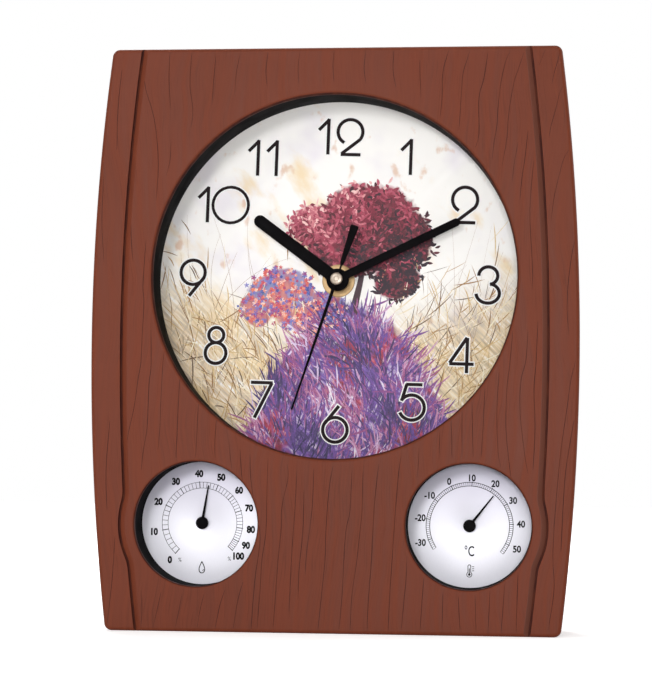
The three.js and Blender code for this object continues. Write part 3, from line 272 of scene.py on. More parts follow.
def eased(points, amount, steps=3, ring=False):
    """A profile with its corners rounded over, apart from its two ends unless it is a ring."""
    result = []
    for i, point in enumerate(points):
        here = Vector(point)
        if not ring and i in (0, len(points) - 1):
            result.append(here)
            continue
        back = Vector(points[i - 1]) - here
        ahead = Vector(points[(i + 1) % len(points)]) - here
        size = min(amount, 0.45 * back.length, 0.45 * ahead.length)
        start = here + size * back.normalized()
        end = here + size * ahead.normalized()
        for k in range(steps + 1):
            t = k / steps
            result.append(start * (1 - t) ** 2 + here * 2 * t * (1 - t) + end * t * t)
    return [tuple(p) for p in result]


def turned(profile, centre, steps, ring=False):
    """A body turned about a line from front to back; the profile's points are (radius, depth)."""
    shape = bmesh.new()
    columns = []
    for radius, depth in profile:
        facets = 1 if radius < TINY else steps
        columns.append([shape.verts.new((
            centre.x + radius * math.sin(2 * math.pi * i / facets),
            FRONT + depth,
            centre.z + radius * math.cos(2 * math.pi * i / facets),
        )) for i in range(facets)])
    following = columns[1:] + (columns[:1] if ring else [])
    for near, far in zip(columns, following):
        for i in range(steps):
            j = (i + 1) % steps
            corners = (near[i % len(near)], near[j % len(near)], far[j % len(far)], far[i % len(far)])
            corners = list(dict.fromkeys(corners))
            if len(corners) > 2:
                shape.faces.new(corners)
    return mesh_of(shape)


def round_slab(node, centre, bore, rim, ease, steps, bends=3):
    """A round slab as deep as a node, with eased edges; a bore of 0 leaves it without a hole."""
    start, end = depths(node)
    corners = [(bore, start), (rim, start), (rim, end), (bore, end)]
    return turned(eased(corners, ease, bends, bore > 0), centre, steps, bore > 0)


def discs(centres, radius, start, end, steps):
    """Plain round bodies between two depths."""
    profile = [(0, start), (radius, start), (radius, end), (0, end)]
    return [turned(profile, centre, steps) for centre in centres]


def plate(outlines, start, end, ease=0.0):
    """A flat body between two depths: the first outline is its edge and the rest are holes."""
    curve = bpy.data.curves.new("plate", "CURVE")
    curve.dimensions = "2D"
    curve.fill_mode = "BOTH"
    curve.extrude = (end - start) / 2 - ease
    curve.bevel_depth = ease
    curve.bevel_resolution = 2
    curve.offset = -ease
    for outline in outlines:
        spline = curve.splines.new("POLY")
        spline.points.add(len(outline) - 1)
        for point, (x, z) in zip(spline.points, outline):
            point.co = (x, z, 0, 1)
        spline.use_cyclic_u = True
    mesh = evaluated(holder_of(curve))
    mesh.transform(Matrix.Translation((0, FRONT + (start + end) / 2, 0)) @ UPRIGHT)
    shape = bmesh.new()
    shape.from_mesh(mesh)
    bmesh.ops.remove_doubles(shape, verts=shape.verts, dist=MERGE)
    return mesh_of(shape)


def loft(rings):
    """A closed body through rings of points, with a cap at each end."""
    shape = bmesh.new()
    rows = [[shape.verts.new(point) for point in ring] for ring in rings]
    for near, far in zip(rows, rows[1:]):
        for i in range(len(near)):
            j = (i + 1) % len(near)
            shape.faces.new((near[i], near[j], far[j], far[i]))
    shape.faces.new(rows[0][::-1])
    shape.faces.new(rows[-1])
    return shape


def circle(radius, x=0.0, z=0.0, steps=48):
    return [(
        x + radius * math.sin(2 * math.pi * i / steps),
        z + radius * math.cos(2 * math.pi * i / steps),
    ) for i in range(steps)]


def box_outline(left, bottom, right, top, corner=0.0, steps=5):
    """A rectangle's outline with its corners rounded."""
    points = []
    for x, z, start in ((right, top, 0), (right, bottom, 90), (left, bottom, 180), (left, top, 270)):
        if corner < TINY:
            points.append((x, z))
            continue
        across = x - math.copysign(corner, x - (left + right) / 2)
        up = z - math.copysign(corner, z - (bottom + top) / 2)
        for i in range(steps + 1):
            turn = math.radians(start + 90 * i / steps)
            points.append((across + corner * math.sin(turn), up + corner * math.cos(turn)))
    return points


def aimed(mesh, centre, turn):
    """Moves a mesh that is drawn about the origin to a centre and turns it clockwise there."""
    there = Matrix.Translation(centre)
    mesh.transform(Matrix.Translation((centre.x, 0, centre.z)))
    mesh.transform(there @ Matrix.Rotation(turn, 4, "Y") @ there.inverted())
    return mesh


def carved(mesh, cutters, operation="DIFFERENCE"):
    """Takes a cutter's body out of a mesh, or joins it on; the cut takes the cutter's material."""
    body = holder_of(mesh)
    tool = holder_of(joined(cutters))
    for material in cutters[0].materials:
        tool.data.materials.append(material)
    cut = body.modifiers.new("Cut", "BOOLEAN")
    cut.operation = operation
    cut.solver = "MANIFOLD"
    cut.material_mode = "TRANSFER"
    cut.object = tool
    result = evaluated(body)
    bpy.data.objects.remove(tool)
    return result


def weighted(mesh):
    """Shades a flat face flat and lets it set the shading of the narrow rounded faces beside it."""
    mesh.shade_smooth()
    mesh.set_sharp_from_angle(angle=SHARP)
    limit = math.cos(SHARP)
    around = [[] for _ in mesh.vertices]
    for face in mesh.polygons:
        for corner in face.vertices:
            around[corner].append(face)
    normals = [None] * len(mesh.loops)
    for face in mesh.polygons:
        for loop in face.loop_indices:
            near = around[mesh.loops[loop].vertex_index]
            shares = (other.normal * other.area for other in near
                      if other.normal.dot(face.normal) > limit)
            total = sum(shares, Vector((0, 0, 0)))
            normals[loop] = total.normalized() if total.length > 0 else face.normal
    mesh.normals_split_custom_set(normals)
    return mesh


def refined(node, ease):
    """A CAD node's own shape with its doubles merged and its edges eased."""
    shape = bmesh.new()
    shape.from_mesh(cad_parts[node].data)
    bmesh.ops.remove_doubles(shape, verts=shape.verts, dist=MERGE)
    flat = math.radians(1)
    bmesh.ops.dissolve_limit(shape, angle_limit=flat, verts=shape.verts, edges=shape.edges)
    mesh = bpy.data.meshes.new(node)
    shape.to_mesh(mesh)
    shape.free()
    body = holder_of(mesh)
    bevel = body.modifiers.new("Edges", "BEVEL")
    bevel.width = ease
    bevel.segments = 2
    bevel.limit_method = "ANGLE"
    bevel.angle_limit = math.radians(40)
    return evaluated(body)


# Repeats and paths, as node trees

def sockets(tree, **inputs):
    """Adds a tree's inputs, each with its kind, and a mesh in and out."""
    tree.interface.new_socket("Geometry", in_out="INPUT", socket_type="NodeSocketGeometry")
    tree.interface.new_socket("Geometry", in_out="OUTPUT", socket_type="NodeSocketGeometry")
    for name, kind in inputs.items():
        tree.interface.new_socket(name, in_out="INPUT", socket_type=f"NodeSocket{kind}")
    return tree.nodes.new("NodeGroupInput").outputs


def step(tree, kind, values=None, **settings):
    """Adds a node, with its settings; each input gets a value or a link."""
    node = tree.nodes.new(kind)
    for key, value in settings.items():
        setattr(node, key, value)
    for key, value in (values or {}).items():
        socket = node.inputs[key]
        if isinstance(value, bpy.types.NodeSocket):
            tree.links.new(value, socket)
        else:
            socket.default_value = value
    return node


def point_value(tree, name, kind="FLOAT"):
    node = step(tree, "GeometryNodeInputNamedAttribute", {"Name": name}, data_type=kind)
    return node.outputs["Attribute"]


def set_out(tree, given, shape):
    """Sets a shape on each point, turned about the front-to-back line by the point's turn."""
    rotation = step(tree, "ShaderNodeCombineXYZ", {"Y": point_value(tree, "turn")})
    return step(tree, "GeometryNodeInstanceOnPoints", {
        "Points": given["Geometry"], "Instance": shape, "Rotation": rotation.outputs[0]})


def ended(tree, given, geometry):
    """Ends a tree: copies become real faces, and all of it takes the finish."""
    real = step(tree, "GeometryNodeRealizeInstances", {"Geometry": geometry})
    finished = step(tree, "GeometryNodeSetMaterial", {
        "Geometry": real.outputs[0], "Material": given["Finish"]})
    result = tree.nodes.new("NodeGroupOutput")
    tree.links.new(finished.outputs[0], result.inputs[0])
    return tree


def copies_tree():
    """Sets one shape on each point, turned by the point's turn and stretched by its stretch."""
    tree = bpy.data.node_groups.new("Copies on points", "GeometryNodeTree")
    given = sockets(tree, Shape="Object", Finish="Material")
    shape = step(tree, "GeometryNodeObjectInfo", {"Object": given["Shape"]}, transform_space="ORIGINAL")
    copies = set_out(tree, given, shape.outputs["Geometry"])
    tree.links.new(point_value(tree, "stretch", "FLOAT_VECTOR"), copies.inputs["Scale"])
    return ended(tree, given, copies.outputs[0])


def marks_tree():
    """Sets a bar across a ring for each point, at the point's turn from upright."""
    tree = bpy.data.node_groups.new("Scale marks", "GeometryNodeTree")
    given = sockets(
        tree, Width="Float", Length="Float", Height="Float", Radius="Float", Finish="Material")
    size = step(tree, "ShaderNodeCombineXYZ", {
        "X": given["Width"], "Y": given["Height"], "Z": given["Length"]})
    bar = step(tree, "GeometryNodeMeshCube", {"Size": size.outputs[0]})
    half = step(tree, "ShaderNodeMath", {0: given["Length"], 1: 0.5}, operation="MULTIPLY")
    out = step(tree, "ShaderNodeMath", {0: half.outputs[0], 1: given["Radius"]}, operation="ADD")
    place = step(tree, "ShaderNodeCombineXYZ", {"Z": out.outputs[0]})
    moved = step(tree, "GeometryNodeTransform", {
        "Geometry": bar.outputs["Mesh"], "Translation": place.outputs[0]})
    copies = set_out(tree, given, moved.outputs[0])
    return ended(tree, given, copies.outputs[0])


def lines_tree():
    """Runs a round section along each chain of edges, as thick as its points' girth."""
    tree = bpy.data.node_groups.new("Lines along paths", "GeometryNodeTree")
    given = sockets(tree, Radius="Float", Facets="Int", Finish="Material")
    path = step(tree, "GeometryNodeMeshToCurve", {"Mesh": given["Geometry"]})
    section = step(tree, "GeometryNodeCurvePrimitiveCircle", {
        "Radius": given["Radius"], "Resolution": given["Facets"]})
    swept = step(tree, "GeometryNodeCurveToMesh", {
        "Curve": path.outputs[0],
        "Profile Curve": section.outputs["Curve"],
        "Scale": point_value(tree, "girth"),
        "Fill Caps": True,
    })
    return ended(tree, given, swept.outputs[0])


def grown(tree_of, points, edges, attributes, **values):
    """Runs a node tree on points with the attributes given and hands back the mesh."""
    mesh = bpy.data.meshes.new("points")
    mesh.from_pydata(points, edges, [])
    for name, numbers in attributes.items():
        if numbers and isinstance(numbers[0], tuple):
            layer = mesh.attributes.new(name, "FLOAT_VECTOR", "POINT")
            layer.data.foreach_set("vector", [part for number in numbers for part in number])
        else:
            layer = mesh.attributes.new(name, "FLOAT", "POINT")
            layer.data.foreach_set("value", numbers)
    title = tree_of.__name__
    tree = bpy.data.node_groups.get(title)
    if tree is None:
        tree = tree_of()
        tree.name = title
    body = holder_of(mesh)
    nodes = body.modifiers.new("Nodes", "NODES")
    nodes.node_group = tree
    identifiers = {
        item.name: item.identifier for item in tree.interface.items_tree if item.in_out == "INPUT"}
    for name, value in values.items():
        nodes[identifiers[name]] = value
    return evaluated(body)


# Finishes

class Finish:
    """A material being written down: each call adds nodes and hands back a socket."""

    def __init__(self, name, colour, roughness, metallic=0.0, gloss=0.5):
        self.material = bpy.data.materials.new(name)
        self.material.use_nodes = True
        self.tree = self.material.node_tree
        self.surface = self.tree.nodes["Principled BSDF"]
        self.set("Base Color", (*colour, 1))
        self.set("Roughness", roughness)
        self.set("Metallic", metallic)
        self.set("Specular IOR Level", gloss)
        self.where = step(self.tree, "ShaderNodeTexCoord").outputs["Object"]

    def set(self, name, value):
        socket = self.surface.inputs[name]
        if isinstance(value, bpy.types.NodeSocket):
            self.tree.links.new(value, socket)
        else:
            socket.default_value = value

    def placed(self, centre=(0, 0, 0), stretch=(1, 1, 1), turn=0.0):
        """The object's own millimetres about a centre, turned as seen from the front, then stretched."""
        about = step(self.tree, "ShaderNodeVectorMath", {0: self.where, 1: tuple(centre)},
                     operation="SUBTRACT")
        turned_by = step(self.tree, "ShaderNodeMapping", {
            "Vector": about.outputs[0], "Rotation": (0, turn, 0)}, vector_type="POINT")
        scaled = step(self.tree, "ShaderNodeMapping", {
            "Vector": turned_by.outputs[0], "Scale": tuple(s / MM for s in stretch)}, vector_type="POINT")
        return scaled.outputs[0]

    def noise(self, vector, scale=1.0, detail=3.0, rough=0.5):
        return step(self.tree, "ShaderNodeTexNoise", {
            "Vector": vector, "Scale": scale, "Detail": detail, "Roughness": rough}).outputs["Fac"]

    def cells(self, vector, scale, feature="F1"):
        return step(self.tree, "ShaderNodeTexVoronoi", {"Vector": vector, "Scale": scale},
                    feature=feature).outputs["Distance"]

    def maths(self, operation, first, second=0.0, third=0.0):
        return step(self.tree, "ShaderNodeMath", {0: first, 1: second, 2: third},
                    operation=operation).outputs[0]

    def parts(self, vector):
        node = step(self.tree, "ShaderNodeSeparateXYZ", {0: vector})
        return node.outputs["X"], node.outputs["Y"], node.outputs["Z"]

    def joined_parts(self, across, depth, up):
        return step(self.tree, "ShaderNodeCombineXYZ", {"X": across, "Y": depth, "Z": up}).outputs[0]

    def fade(self, value, start, end, low=0.0, high=1.0):
        """Runs softly from low to high while a value goes from start to end."""
        return step(self.tree, "ShaderNodeMapRange", {
            "Value": value, "From Min": start, "From Max": end, "To Min": low, "To Max": high,
        }, interpolation_type="SMOOTHSTEP").outputs[0]

    def mix(self, share, first, second):
        node = step(self.tree, "ShaderNodeMix", data_type="RGBA")
        for index, value in ((0, share), (6, first), (7, second)):
            if isinstance(value, bpy.types.NodeSocket):
                self.tree.links.new(value, node.inputs[index])
            elif index == 0:
                node.inputs[0].default_value = value
            else:
                node.inputs[index].default_value = (*value[:3], 1)
        return node.outputs[2]

    def bands(self, value, *stops):
        """A run of colours along a value from 0 to 1."""
        node = step(self.tree, "ShaderNodeValToRGB", {"Fac": value})
        ramp = node.color_ramp
        while len(ramp.elements) < len(stops):
            ramp.elements.new(1)
        for element, (position, colour) in zip(ramp.elements, stops):
            element.position = position
            element.color = (*colour[:3], 1)
        return node.outputs["Color"]

    def attribute(self, name):
        return step(self.tree, "ShaderNodeAttribute", attribute_name=name).outputs["Fac"]

    def bump(self, height, depth):
        """Raises the surface by a depth in millimetres where a height is 1."""
        self.set("Normal", step(self.tree, "ShaderNodeBump", {
            "Height": height, "Distance": depth * MM, "Strength": 1.0}).outputs[0])

    def varied(self, share, colour, dark, light):
        """Sets the base colour between a darker and a lighter shade of a colour."""
        self.set("Base Color", self.mix(share, shade(colour, dark), shade(colour, light)))


def shade(colour, factor):
    return tuple(min(1, max(0, part * factor)) for part in colour[:3])


def moulded(name, colour, roughness, pore=1.2, depth=0.01, gloss=0.4, change=0.14):
    """Plastic from a mould: a fine spark-eroded skin, faint flow marks and a little change in gloss."""
    made = Finish(name, colour, roughness, gloss=gloss)
    fine = made.noise(made.placed(), scale=pore, detail=2)
    wide = made.noise(made.placed(), scale=0.035)
    dull = made.noise(made.placed(), scale=0.09)
    made.varied(wide, colour, 1 - change, 1 + change)
    made.set("Roughness", made.fade(dull, 0.3, 0.7, roughness - 0.06, roughness + 0.08))
    made.bump(fine, depth)
    return made.material


def metal(name, colour, roughness, stretch=(0.2, 0.2, 6.0), depth=0.003, change=0.1,
          metallic=1.0, gloss=0.5):
    """Metal with the fine lines of its rolling or turning, and dull patches from handling."""
    made = Finish(name, colour, roughness, metallic=metallic, gloss=gloss)
    lines = made.noise(made.placed(stretch=stretch), detail=4)
    patches = made.noise(made.placed(), scale=0.25)
    made.varied(lines, colour, 1 - change, 1 + change)
    made.set("Roughness", made.fade(patches, 0.3, 0.75, roughness - 0.06, roughness + 0.12))
    made.bump(lines, depth)
    return made.material


def wood_look(colours):
    """Painted wood-look plastic: soft vertical streaks with fine dark hairs, and a finely pitted skin."""
    made = Finish("Wood-look plastic", colours.casing, 0.42, gloss=0.09)
    base = tuple(colours.casing)
    across, depth, up = made.parts(made.placed(centre=(-9 * MM, 0, 0)))
    bend = made.noise(made.placed(), scale=0.012, detail=2)
    slanted = made.maths("MULTIPLY_ADD", bend, 26.0, across)
    along = made.joined_parts(slanted, depth, made.maths("MULTIPLY", up, 0.03))
    streaks = made.noise(along, scale=0.42, detail=5, rough=0.62)
    hair = made.noise(along, scale=2.1, detail=2)
    clouds = made.noise(made.placed(), scale=0.018)
    pale = (base[0] * 1.16, base[1] * 1.2, base[2] * 1.3)
    colour = made.mix(made.fade(streaks, 0.3, 0.7), shade(base, 0.9), shade(base, 1.1))
    colour = made.mix(made.fade(hair, 0.54, 0.72, 0, 0.42), colour, shade(base, 0.6))
    made.set("Base Color", made.mix(made.fade(clouds, 0.35, 0.7, 0, 0.3), colour, pale))
    made.set("Roughness", made.fade(streaks, 0.25, 0.75, 0.4, 0.54))
    skin = made.noise(made.placed(), scale=1.6, detail=2)
    relief = made.maths("ADD", made.maths("MULTIPLY", hair, 0.8), made.maths("MULTIPLY", skin, 0.3))
    made.bump(relief, 0.03)
    return made.material


def grain_paint(colours):
    """The darker paint that lies in the engraved lines, thinner in places; on the openings' lips and in
    the grooves it is laid as painted shade.
    """
    made = Finish("Grain paint", colours.grain, 0.62, gloss=0.15)
    worn = made.fade(made.noise(made.placed(stretch=(1, 1, 0.25)), scale=0.3), 0.35, 0.72)
    made.set("Base Color", made.mix(worn, tuple(colours.grain), shade(colours.casing, 0.62)))
    made.bump(made.noise(made.placed(), scale=2.0), 0.02)
    return made.material


def clear_plastic(_colours):
    """Clear plastic: see-through face on, glossier towards a grazing look."""
    made = Finish("Clear lens", (0.02, 0.02, 0.02), 0.04, gloss=0.25)
    facing = step(made.tree, "ShaderNodeLayerWeight", {"Blend": 0.28}).outputs["Fresnel"]
    made.set("Alpha", made.fade(facing, 0.05, 1.0, 0.0, 0.4))
    smears = made.noise(made.placed(stretch=(1, 1, 0.4), turn=0.5), scale=0.6, detail=2)
    made.set("Roughness", made.fade(smears, 0.4, 0.8, 0.03, 0.1))
    return made.material


def jacket(colours):
    """A cell's printed jacket: a dark sleeve, a pale line and a copper band at the plus end."""
    made = Finish("Battery jacket", colours.jacket, 0.3, gloss=0.5)
    x, _, _ = made.parts(made.placed(centre=middle("battery")))
    flutter = made.noise(made.placed(stretch=(0.2, 1, 1)), scale=0.5)
    band = made.fade(made.maths("MULTIPLY_ADD", flutter, 0.4, x), 11.0, 11.4)
    thin = made.maths("MULTIPLY", made.fade(x, 8.4, 8.6), made.fade(x, 9.6, 9.4))
    colour = made.mix(band, tuple(colours.jacket), shade(colours.copper, 1.1))
    made.set("Base Color", made.mix(thin, colour, (0.8, 0.8, 0.8)))
    made.set("Metallic", made.fade(band, 0, 1, 0.0, 0.7))
    made.bump(flutter, 0.02)
    return made.material


def fibreboard(colours):
    """A circuit board: green lacquer with the weave under it and a few pale traces."""
    made = Finish("Circuit board", colours.board, 0.35)
    weave = made.cells(made.placed(), 2.4)
    edges = made.cells(made.placed(stretch=(0.5, 1, 1)), 0.42, "DISTANCE_TO_EDGE")
    colour = made.mix(weave, shade(colours.board, 0.8), shade(colours.board, 1.25))
    made.set("Base Color", made.mix(made.fade(edges, 0.05, 0.07), shade(colours.board, 2.2), colour))
    made.bump(weave, 0.02)
    return made.material


def winding(colours):
    """Enamelled wire, wound in turns that lie side by side, with painted shade darkest where two turns
    meet.
    """
    made = Finish("Copper wire", colours.copper, 0.3, metallic=0.9)
    _, _, up = made.parts(made.placed())
    turns = made.maths("PINGPONG", made.maths("MULTIPLY", up, 4.0), 0.5)
    # Painted shade: the wire is darker in the valleys between its turns
    made.varied(turns, colours.copper, 0.55, 1.15)
    made.bump(turns, 0.06)
    return made.material


def printed(name, colour):
    """Printing ink, a little uneven in its cover."""
    made = Finish(name, colour, 0.6, gloss=0.1)
    cover = made.noise(made.placed(), scale=2.5, detail=2)
    made.varied(cover, colour, 0.85, 1.2)
    made.bump(cover, 0.004)
    return made.material


def silver_dial(colours):
    """A gauge face's satin silver paint, with painted shade that runs from a lighter lower part to a
    darker top.
    """
    made = Finish("Silver face", colours.silver, 0.4, metallic=0.1, gloss=0.25)
    base = tuple(colours.silver)
    _, _, up = made.parts(made.placed(centre=GAUGES["hygrometer"]))
    grainy = made.noise(made.placed(stretch=(8, 8, 0.5)), scale=0.8)
    # Painted shade: the face is a touch lighter low down and darker towards its top
    dark = (base[0] * 0.62, base[1] * 0.6, base[2] * 0.66)
    colour = made.mix(made.fade(up, -8, 30), shade(base, 1.08), dark)
    made.set("Base Color", made.mix(made.fade(grainy, 0.3, 0.7, 0, 0.12), colour, shade(base, 0.8)))
    made.bump(grainy, 0.003)
    return made.material


# Ellipses of the picture's crown and shrub: x, z and both radii, in millimetres from the hub
CROWN = ((15, 35, 26, 17), (-9, 29, 19, 13), (34, 21, 16, 18), (8, 15, 25, 13), (31, 1, 13, 11))
SHRUB = ((-30, -6, 18, 13), (-15, -17, 20, 12), (-43, -15, 10, 9))
MOUND_X, MOUND_TOP, MOUND_FALL = 6, -14, 0.022  # the mound is a parabola with its top here


def meadow(colours):
    """The dial's print: a pale sky over dry grass, a tree's round crown and a mound of heather."""
    made = Finish("Printed meadow", colours.paper, 0.5, gloss=0.35)
    paper, lilac, straw, violet, burgundy = (tuple(c) for c in (
        colours.paper, colours.lilac, colours.straw, colours.violet, colours.burgundy))
    here = made.placed(centre=HUB)
    x, _, up = made.parts(here)

    def drawn(squash, turn=0.0):
        """Coordinates that draw a pattern out along a slanted line."""
        return made.placed(HUB, (1, 1, squash), turn)

    def less(first, second):
        return made.maths("SUBTRACT", first, second)

    ragged = made.maths("MULTIPLY_ADD", less(made.noise(here, 0.045, 4), 0.5), 26.0,
                        made.maths("MULTIPLY", less(made.noise(here, 0.35, 4), 0.5), 9.0))

    sky = made.mix(made.fade(made.noise(here, 0.03), 0.46, 0.72, 0, 0.6), paper, lilac)
    blush = made.noise(drawn(0.55, 0.6), 0.05, 5)
    sky = made.mix(made.fade(blush, 0.53, 0.70, 0, 0.75), sky, shade(straw, 1.1))
    rust = made.noise(made.placed((HUB.x + 0.3, HUB.y, HUB.z), (1, 1, 0.7)), 0.11, 5)
    sky = made.mix(made.fade(rust, 0.60, 0.72, 0, 0.6), sky, (0.66, 0.36, 0.18))

    blades = made.noise(drawn(0.1, 0.75), 0.8)
    other = made.noise(drawn(0.12, -0.6), 0.7)
    field = made.bands(blades, (0.3, (0.30, 0.19, 0.09)), (0.42, shade(straw, 0.72)), (0.55, straw),
                       (0.72, shade(paper, 0.98)))
    field = made.mix(made.fade(other, 0.55, 0.66, 0, 0.6), field, shade(straw, 0.55))
    low = made.maths("MULTIPLY_ADD", made.maths("ABSOLUTE", x), -0.35, up)
    ground = made.fade(made.maths("ADD", low, ragged), -16, -58)
    sky = made.mix(made.maths("MULTIPLY", ground, 0.75), sky, field)

    def inside(blobs, rough):
        """How far inside the nearest of several ellipses, with a ragged edge."""
        nearest = None
        for middle_x, middle_z, wide, tall in blobs:
            across = made.maths("DIVIDE", less(x, middle_x), wide)
            along = made.maths("DIVIDE", less(up, middle_z), tall)
            spread = made.maths("SQRT", made.maths("ADD", made.maths("MULTIPLY", across, across),
                                                   made.maths("MULTIPLY", along, along)))
            nearest = spread if nearest is None else made.maths("MINIMUM", nearest, spread)
        return made.fade(made.maths("MULTIPLY_ADD", ragged, rough, nearest), 1.0, 0.84)

    dabs = made.noise(drawn(0.6, 0.4), 0.22, 5, 0.6)
    lit = made.maths("MULTIPLY_ADD", less(up, x), 0.0016, less(dabs, 0.03))
    leaves = made.bands(lit, (0.34, shade(burgundy, 0.3)), (0.47, burgundy), (0.58, shade(burgundy, 1.8)),
                        (0.72, (0.74, 0.36, 0.36)))
    bloom = made.noise(drawn(0.8), 0.09, 4)
    shrub = made.bands(bloom, (0.36, (0.06, 0.08, 0.26)), (0.45, (0.20, 0.20, 0.46)),
                       (0.52, (0.40, 0.07, 0.12)), (0.62, (0.62, 0.16, 0.12)), (0.74, (0.84, 0.52, 0.40)))

    off = less(x, MOUND_X)
    hill = made.maths("MULTIPLY_ADD", made.maths("MULTIPLY", off, off), MOUND_FALL, less(up, MOUND_TOP))
    mound = made.fade(made.maths("MULTIPLY_ADD", ragged, 0.6, hill), 3.0, -3.0)
    tufts = made.noise(drawn(0.28, 0.9), 0.3, 5, 0.65)
    fibres = made.noise(drawn(0.12, -0.35))
    heather = made.bands(tufts, (0.32, shade(violet, 0.22)), (0.44, shade(violet, 0.7)),
                         (0.55, shade(violet, 1.6)), (0.7, (0.74, 0.62, 0.70)))
    reds = made.bands(tufts, (0.32, shade(burgundy, 0.25)), (0.46, burgundy), (0.58, shade(burgundy, 2.1)),
                      (0.72, (0.80, 0.60, 0.58)))
    heather = made.mix(made.fade(made.noise(here, 0.06), 0.46, 0.6), heather, reds)
    heather = made.mix(made.fade(fibres, 0.58, 0.7, 0, 0.7), heather, (0.82, 0.74, 0.80))

    picture = made.mix(made.maths("MULTIPLY", inside(SHRUB, 0.03), 0.9), sky, shrub)
    picture = made.mix(inside(CROWN, 0.022), picture, leaves)
    made.set("Base Color", made.mix(mound, picture, heather))
    made.bump(made.noise(made.placed(), scale=3.0, detail=2), 0.006)
    return made.material


def painted(name, *stops):
    """Printed brush marks: each one's colour follows its own tone, with a dry brush's streaks."""
    made = Finish(name, stops[0][1], 0.55, gloss=0.3)
    streak = made.noise(made.placed(centre=HUB), scale=1.6, detail=2)
    off = made.maths("SUBTRACT", streak, 0.5)
    tone = made.maths("MULTIPLY_ADD", off, 0.3, made.attribute("tone"))
    made.set("Base Color", made.bands(tone, *stops))
    made.bump(streak, 0.004)
    return made.material


RECIPES = {
    "casing_plastic": wood_look,
    "grain": grain_paint,
    # The darker tint of painted shade on the right groove's gentle side
    "glaze": lambda c: moulded("Groove glaze", c.glaze, 0.5, pore=1.0, depth=0.02, gloss=0.12),
    "black_plastic": lambda c: moulded("Black plastic", c.black, 0.6, gloss=0.02),
    "cover_plastic": lambda c: moulded("Cover plastic", c.cover, 0.6, pore=0.9, depth=0.03),
    "movement_black": lambda c: moulded("Movement plastic", c.movement, 0.5, pore=1.5, depth=0.015),
    "wheel_plastic": lambda c: moulded(
        "Natural plastic", c.natural, 0.5, pore=2.0, depth=0.004, change=0.05),
    "hand_black": lambda c: moulded("Hand black", c.hand, 0.5, pore=3.0, depth=0.003, gloss=0.02),
    "clear_lens": clear_plastic,
    "dial_print": meadow,
    "numeral_ink": lambda c: printed("Numeral ink", c.ink),
    "halo": lambda c: printed("Numeral halo", shade(c.paper, 0.98)),
    "gauge_ink": lambda c: printed("Gauge ink", c.gauge_ink),
    "silver_face": silver_dial,
    "cap_gold": lambda c: metal("Pale gold", c.cap, 0.26, stretch=(3, 3, 3), depth=0.001, change=0.04,
                                metallic=0.2, gloss=0.4),
    "brass": lambda c: metal("Brass", c.brass, 0.42, stretch=(0.4, 1, 4), metallic=0.3, gloss=0.2),
    "steel": lambda c: metal("Steel", c.steel, 0.34),
    "copper": lambda c: metal("Copper", c.copper, 0.32, stretch=(1, 6, 1)),
    "magnet_grey": lambda c: moulded("Magnet", c.magnet, 0.5, pore=2.5, depth=0.01),
    "battery_jacket": jacket,
    "board_green": fibreboard,
    "wire": winding,
}


def finish(key):
    """The material of a slot, written the first time that it is asked for."""
    held = bpy.data.materials.get(f"slot_{key}")
    if held is None:
        held = RECIPES[key](bpy.context.scene.clock_colours)
        held.name = f"slot_{key}"
    return held


# Casing

